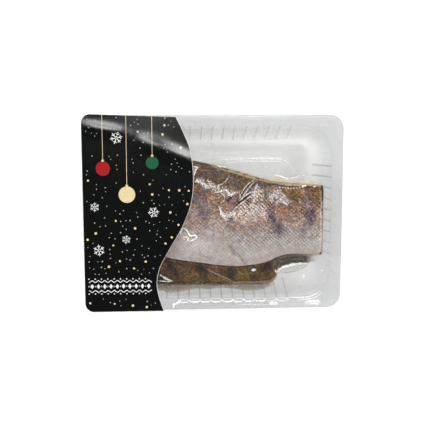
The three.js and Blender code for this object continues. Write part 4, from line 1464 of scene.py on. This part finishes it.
def card_back_material():
    """Uncoated board, matt and slightly fibrous."""
    material, tree = new_material("uncoated_board")
    return finished(material, tree, surface(tree, "Principled", {
        "Base Color": grained(tree, 0.8, 4, 0.5, (0.3, linear(205, 203, 198)), (0.7, linear(232, 231, 228))),
        "Roughness": 0.8, "Normal": bump(tree, grain(tree, 0.4, 2), 0.3, 0.05),
    }))


UPPER_SKIN = {
    "across": [
        (0.0, seen(164, 155, 147)), (0.14, seen(172, 165, 161)), (0.34, seen(160, 151, 146)),
        (0.5, seen(148, 129, 119)), (0.64, seen(130, 106, 92)), (0.78, seen(100, 78, 57)),
        (0.9, seen(80, 62, 41)), (1.0, seen(66, 52, 33)),
    ],
    "mottled": [(0.24, 0.12), (0.55, 0.7), (0.75, 1.0)],
    "shades": [
        ("gold", seen(126, 97, 52), 0.8), ("rust", seen(138, 104, 87), 0.7), ("pale", seen(204, 192, 190), 0.8),
        ("bar", seen(82, 70, 82), 0.95),
    ],
    "grit": [(0.37, 0.2), (0.5, 0.85), (0.62, 2.3)],
    "plain": 0.1, "scaly": 0.82,
}
LOWER_SKIN = {
    "across": [
        (0.0, seen(84, 70, 44)), (0.12, seen(90, 72, 48)), (0.3, seen(92, 70, 50)), (1.0, seen(96, 78, 54)),
    ],
    "mottled": [(0.0, 1.0), (0.5, 1.0)],
    "shades": [
        ("gold", seen(114, 94, 50), 0.7), ("rust", seen(108, 76, 62), 0.7), ("pale", seen(140, 122, 100), 0.8),
        ("bar", seen(46, 40, 42), 0.9),
    ],
    "grit": [(0.37, 0.4), (0.5, 0.92), (0.63, 1.75)],
    "plain": 0.08, "scaly": 0.1,
}
BLACK, WHITE_INK, GOLD, SNOW, RED, GREEN = (
    ink_material(name, light, deep, *roughness) for name, light, deep, *roughness in (
        ("card_black", (11, 12, 12), (6, 8, 7), 0.17),
        ("white_ink", (225, 225, 225), (205, 205, 205)),
        ("gold_ink", (226, 208, 168), (196, 172, 126)),
        ("snow_ink", (180, 181, 182), (96, 98, 100)),
        ("red_ink", (160, 32, 32), (136, 22, 25)),
        ("green_ink", (32, 92, 60), (22, 74, 47)),
    ))

# Pieces
tray_piece(tray_material())
fillet_piece("upper_fillet_flesh", UPPER, BED_OF_UPPER, 260, 110,
             skin_material("upper_fillet_skin", **UPPER_SKIN), "fillet_upper")
fillet_piece("lower_fillet_flesh", LOWER, BED_OF_LOWER, 220, 90,
             skin_material("lower_fillet_skin", **LOWER_SKIN), "fillet_lower")
film_piece(film_material())

# Painted highlights along the front wall's top, by its grooves: dashes on the ledge, arcs in front of it, and
# their corners
PEAKS = GROOVE_PITCH * np.arange(-3, 8) + FRONT_GROOVES_AT - 0.5
BRIGHT_ARCS = 8
dashes = strokes(*((0.28, 0.12, x + 1.7, -63.9, x + 4.2, -64.1, x + 6.9, -64) for x in PEAKS))
arcs = strokes(*(
    (0.55, 0.12, x + 0.1, -64.7, x + 1.1, -65.9, x + 2.5, -66.35, x + 5.7, -66.35, x + 7.1, -65.9, x + 8, -64.7)
    for x in PEAKS[:-1]))
corners = strokes(*((0.36, 0.12, x - 1.1, -65.9, x, -64.6, x + 1.1, -65.9) for x in PEAKS[5:]))

# Painted highlights in a row of small beads along the upper fillet's back edge
bead_places = zip(np.linspace(49.5, 66.5, 9), 17.3 + 0.5 * np.sin(np.linspace(2, 7, 9)))
beads = strokes(*((0.5, 0.3, x, y, x + 0.9, y + 0.1) for x, y in bead_places))
painted_stroke_piece("film_painted_highlights",
             PAINTED_HIGHLIGHTS + glints(GLINTS, 11, 0.13, 0.3) + beads + arcs[:BRIGHT_ARCS] + corners,
             painted_highlight_material("painted_film_highlight", (0.92, 0.92, 0.91, 1), (0.45, 1.0), 0.25))
painted_stroke_piece("film_soft_painted_highlights",
             SOFT_PAINTED_HIGHLIGHTS + dashes + arcs[BRIGHT_ARCS:] + glints(SOFT_GLINTS, 12, 0.22, 0.5),
             painted_highlight_material("soft_painted_film_highlight", (0.9, 0.9, 0.89, 1), (0.0, 0.5), 0.08, (0.9, 0.86, 0.8, 1)))
painted_stroke_piece("film_shades", SHADES, shade_material())

# The dark brown juice is partly painted shadow: under the belly's overhang and beside the lower fillet's front
# edge
juice = juice_material("fish_juice_and_painted_shadow", seen(97, 84, 74), seen(117, 102, 90), 0.75)
fog = juice_material("set_juice", seen(196, 184, 162), seen(220, 212, 196), 0.6)
pool_piece("juice_and_painted_shadow_by_belly", 44.5, 80,
           curve_through((44, -46), (52, -44.1), (60, -42.0), (66, -41.4), (82, -41)),
           curve_through((46, -34.5), (56, -32.4), (66, -32.4), (82, -32.6)), 0.0, juice, 40, 14)
fog_width = curve_through(
    (-4, 0.5), (4, 2.2), (10, 1.6), (20, 0.5), (40, 0.8), (48, 2.4), (60, 2.8), (76, 2), (83, 1))


def upper_back(x):
    """The upper fillet's back edge, carried on past its right end."""
    return UPPER["back"](np.minimum(x, UPPER["right"]))


pool_piece("juice_by_back", -4, 83, lambda x: upper_back(x) - 0.3, lambda x: upper_back(x) + fog_width(x),
           0.0, fog, 90, 8)
front_line = curve_through(
    (-56, -59.2), (-38, -59.2), (-34.5, -60.2), (-27.6, -60), (-18, -59), (-10, -58.3), (-4, -58.8), (6, -58),
    (16, -58.8), (26, -59.8), (36, -59.4), (44, -58), (50, -57))
# Darker towards the lower fillet's edge by its share: painted shade beside the fillet
pool_piece("juice_and_painted_shade_by_front", -56, 49, front_line,
           curve_through((-56, -54.6), (0, -55.3), (50, -55.2)), 0.8, juice, 120, 10)
card_piece(BLACK, card_back_material())

rng = np.random.default_rng(7)

# The print: baubles (x, y, radius), flakes (x, y, radius, turn) and a band with a motif every few millimetres
BAUBLES = [(-80, 34, 5.2), (-63, 15, 6.0), (-44.5, 38, 4.6)]
FLAKES = [
    (-70, 56, 4.4, 0.2), (-86.5, 6, 3.4, 0.5), (-44, 2, 4.0, 0.1), (-64, -18, 3.2, 0.35), (-84, -26, 4.2, 0.6),
]
BAND_LOW, BAND_HIGH = -60, -46
BAND_MIDDLE = (BAND_LOW + BAND_HIGH) / 2
BAND_STEP = 4.6
BAND_MOTIFS = 13
THREAD_PARTS = 60
CAP_HEIGHT = 1.2
DOT_BORDER = 2.5
DOT_FROM_CORNER = 8


def scattered_dots(count, small, large, spacing, taken):
    """Dots of random size strewn over the card, clear of its border and of the shapes already there."""
    shapes = []
    while len(shapes) < count:
        y = rng.uniform(CARD_FRONT + DOT_BORDER, CARD_BACK - DOT_BORDER)
        x = rng.uniform(CARD_LEFT + DOT_BORDER, float(CARD_WAVE(y)) - DOT_BORDER)
        radius = rng.uniform(small, large)
        near_corner = min(y - CARD_FRONT, CARD_BACK - y) + (x - CARD_LEFT) < DOT_FROM_CORNER
        if near_corner or any(math.hypot(x - a, y - b) < radius + r + spacing for a, b, r in taken):
            continue
        taken.append((x, y, radius))
        shapes.append(disc(x, y, radius))
    return shapes


def bauble_parts(x, y, radius):
    """A ball's disc, then its cap and its thread up to the card's back edge."""
    top = y + radius + CAP_HEIGHT
    places = np.linspace(top, CARD_BACK - 0.4, THREAD_PARTS)
    thread = [bar((x, low), (x, high), 0.35) for low, high in zip(places, places[1:])]
    return [disc(x, y, radius, 28)], [bar((x, y + radius - 0.2), (x, top), 1.8)] + thread


def band_shapes():
    """A knitted-looking band: a row of diamonds between two zigzags and two rows of small squares."""
    shapes = []
    for k in range(BAND_MOTIFS):
        x = CARD_LEFT + 3 + BAND_STEP * (k + 0.5)
        left, right = x - BAND_STEP / 2, x + BAND_STEP / 2
        if right > float(CARD_WAVE(BAND_MIDDLE)) - 2:
            break
        shapes.append(diamond(x, BAND_MIDDLE, 1.35, 1.9))
        for side in (-1, 1):
            low, high = BAND_MIDDLE + side * 2.9, BAND_MIDDLE + side * 4.6
            shapes += [bar((left, low), (x, high), 0.55), bar((x, high), (right, low), 0.55)]
            shapes.append(diamond(left, BAND_MIDDLE + side * 5.6, 0.6, 0.6))
            shapes.append(diamond(left, BAND_MIDDLE, 0.55, 0.8))
    return shapes


taken = [(x, y, radius + 1.5) for x, y, radius in BAUBLES] + [(x, y, radius) for x, y, radius, _ in FLAKES]
taken += [(x, BAND_MIDDLE, (BAND_HIGH - BAND_LOW) / 2) for x in np.arange(-94, -36, 4)]
for x, y, _ in BAUBLES:
    taken += [(x, place, 0.8) for place in np.arange(y, CARD_BACK, 3)]
(red_ball, *_), (gold_ball, *_), (green_ball, *_) = balls = [bauble_parts(*bauble) for bauble in BAUBLES]
print_piece("print_red", red_ball, RED)
print_piece("print_green", green_ball, GREEN)
print_piece("print_gold", gold_ball + [part for _, parts in balls for part in parts]
            + scattered_dots(28, 0.7, 1.0, 4.5, taken), GOLD)
flakes = [shape for flake in FLAKES for shape in snowflake(*flake)]
print_piece("print_white", flakes + band_shapes(), WHITE_INK)
print_piece("print_snow", scattered_dots(150, 0.34, 0.55, 1.6, taken), SNOW)


# Floor, light and camera
FLOOR_HALF = 3000
FLOOR_BELOW = 0.02
CAMERA_PLACE = (-35.24, 96.19, 637.0)
CAMERA_TURN = (-0.154, -0.056, -0.006)
CAMERA_LENS = 71.75
CAMERA_SENSOR = 36
LIGHTS = [
    # name, place in millimetres, width, height, watts
    ("key", (0, 1000, 560), 500, 160, 5.6),
    ("panel", (0, 700, 800), 900, 560, 0.95),
    ("softbox_left", (-120, 200, 1000), 110, 120, 1.0),
    ("softbox_right", (110, 200, 1000), 110, 120, 1.3),
    ("side_left", (-900, 100, 500), 300, 500, 3.2),
    ("side_right", (900, 100, 500), 300, 500, 1.6),
    ("front", (0, -900, 500), 600, 200, 2.2),
]


def in_scene(name, data):
    """An object with the data, in the scene."""
    made = bpy.data.objects.new(name, data)
    bpy.context.scene.collection.objects.link(made)
    return made


def floor():
    """A pale floor that also glows a little, so no edge of the picture falls off."""
    corners = [(x * FLOOR_HALF * MM, y * FLOOR_HALF * MM, -FLOOR_BELOW * MM)
               for x, y in ((-1, -1), (1, -1), (1, 1), (-1, 1))]
    mesh = bpy.data.meshes.new("floor")
    mesh.from_pydata(corners, [], [(0, 1, 2, 3)])
    material, tree = new_material("pale_floor")
    mesh.materials.append(finished(material, tree, surface(tree, "Principled", {
        "Base Color": grey(0.72), "Roughness": 0.9, "Specular IOR Level": 0.1,
        "Emission Color": WHITE, "Emission Strength": 0.36,
    })))
    in_scene("floor", mesh)


def area_light(name, place, width, height, watts):
    """A soft light that faces the pack."""
    light = bpy.data.lights.new(name, "AREA")
    light.shape = "RECTANGLE"
    light.size, light.size_y = width * MM, height * MM
    light.energy = watts
    lamp = in_scene(name, light)
    lamp.location = Vector(place) * MM
    lamp.rotation_euler = (-lamp.location).to_track_quat("-Z", "Y").to_euler()


def surroundings():
    """A soft room: bright low down and around, dim overhead."""
    world = bpy.data.worlds.new("soft_room")
    world.use_nodes = True
    tree = world.node_tree
    tree.nodes.clear()
    direction = add_node(tree, "ShaderNodeTexCoord").outputs["Generated"]
    height = add_node(tree, "ShaderNodeSeparateXYZ", {0: direction}).outputs[2]
    level = ramp(tree, height, (0.0, 1.0), (0.45, 0.97), (0.8, 0.4), (0.93, 0.1), (1.0, 0.04))
    glow = add_node(tree, "ShaderNodeBackground", {"Color": level, "Strength": 1.07}).outputs[0]
    add_node(tree, "ShaderNodeOutputWorld", {"Surface": glow})
    bpy.context.scene.world = world


def photo_camera():
    """The camera that the pack's outline was fitted with."""
    camera = bpy.data.cameras.new("camera")
    camera.sensor_width = CAMERA_SENSOR
    camera.lens = CAMERA_LENS
    camera.clip_start = 0.01
    viewer = in_scene("camera", camera)
    turn = Vector(CAMERA_TURN)
    viewer.rotation_mode = "QUATERNION"
    viewer.rotation_quaternion = Quaternion(turn.normalized(), turn.length)
    viewer.location = Vector(CAMERA_PLACE) * MM
    bpy.context.scene.camera = viewer


floor()
surroundings()
for light in LIGHTS:
    area_light(*light)
photo_camera()
bpy.context.scene.view_settings.view_transform = "Standard"
bpy.context.scene.cycles.transparent_max_bounces = 24
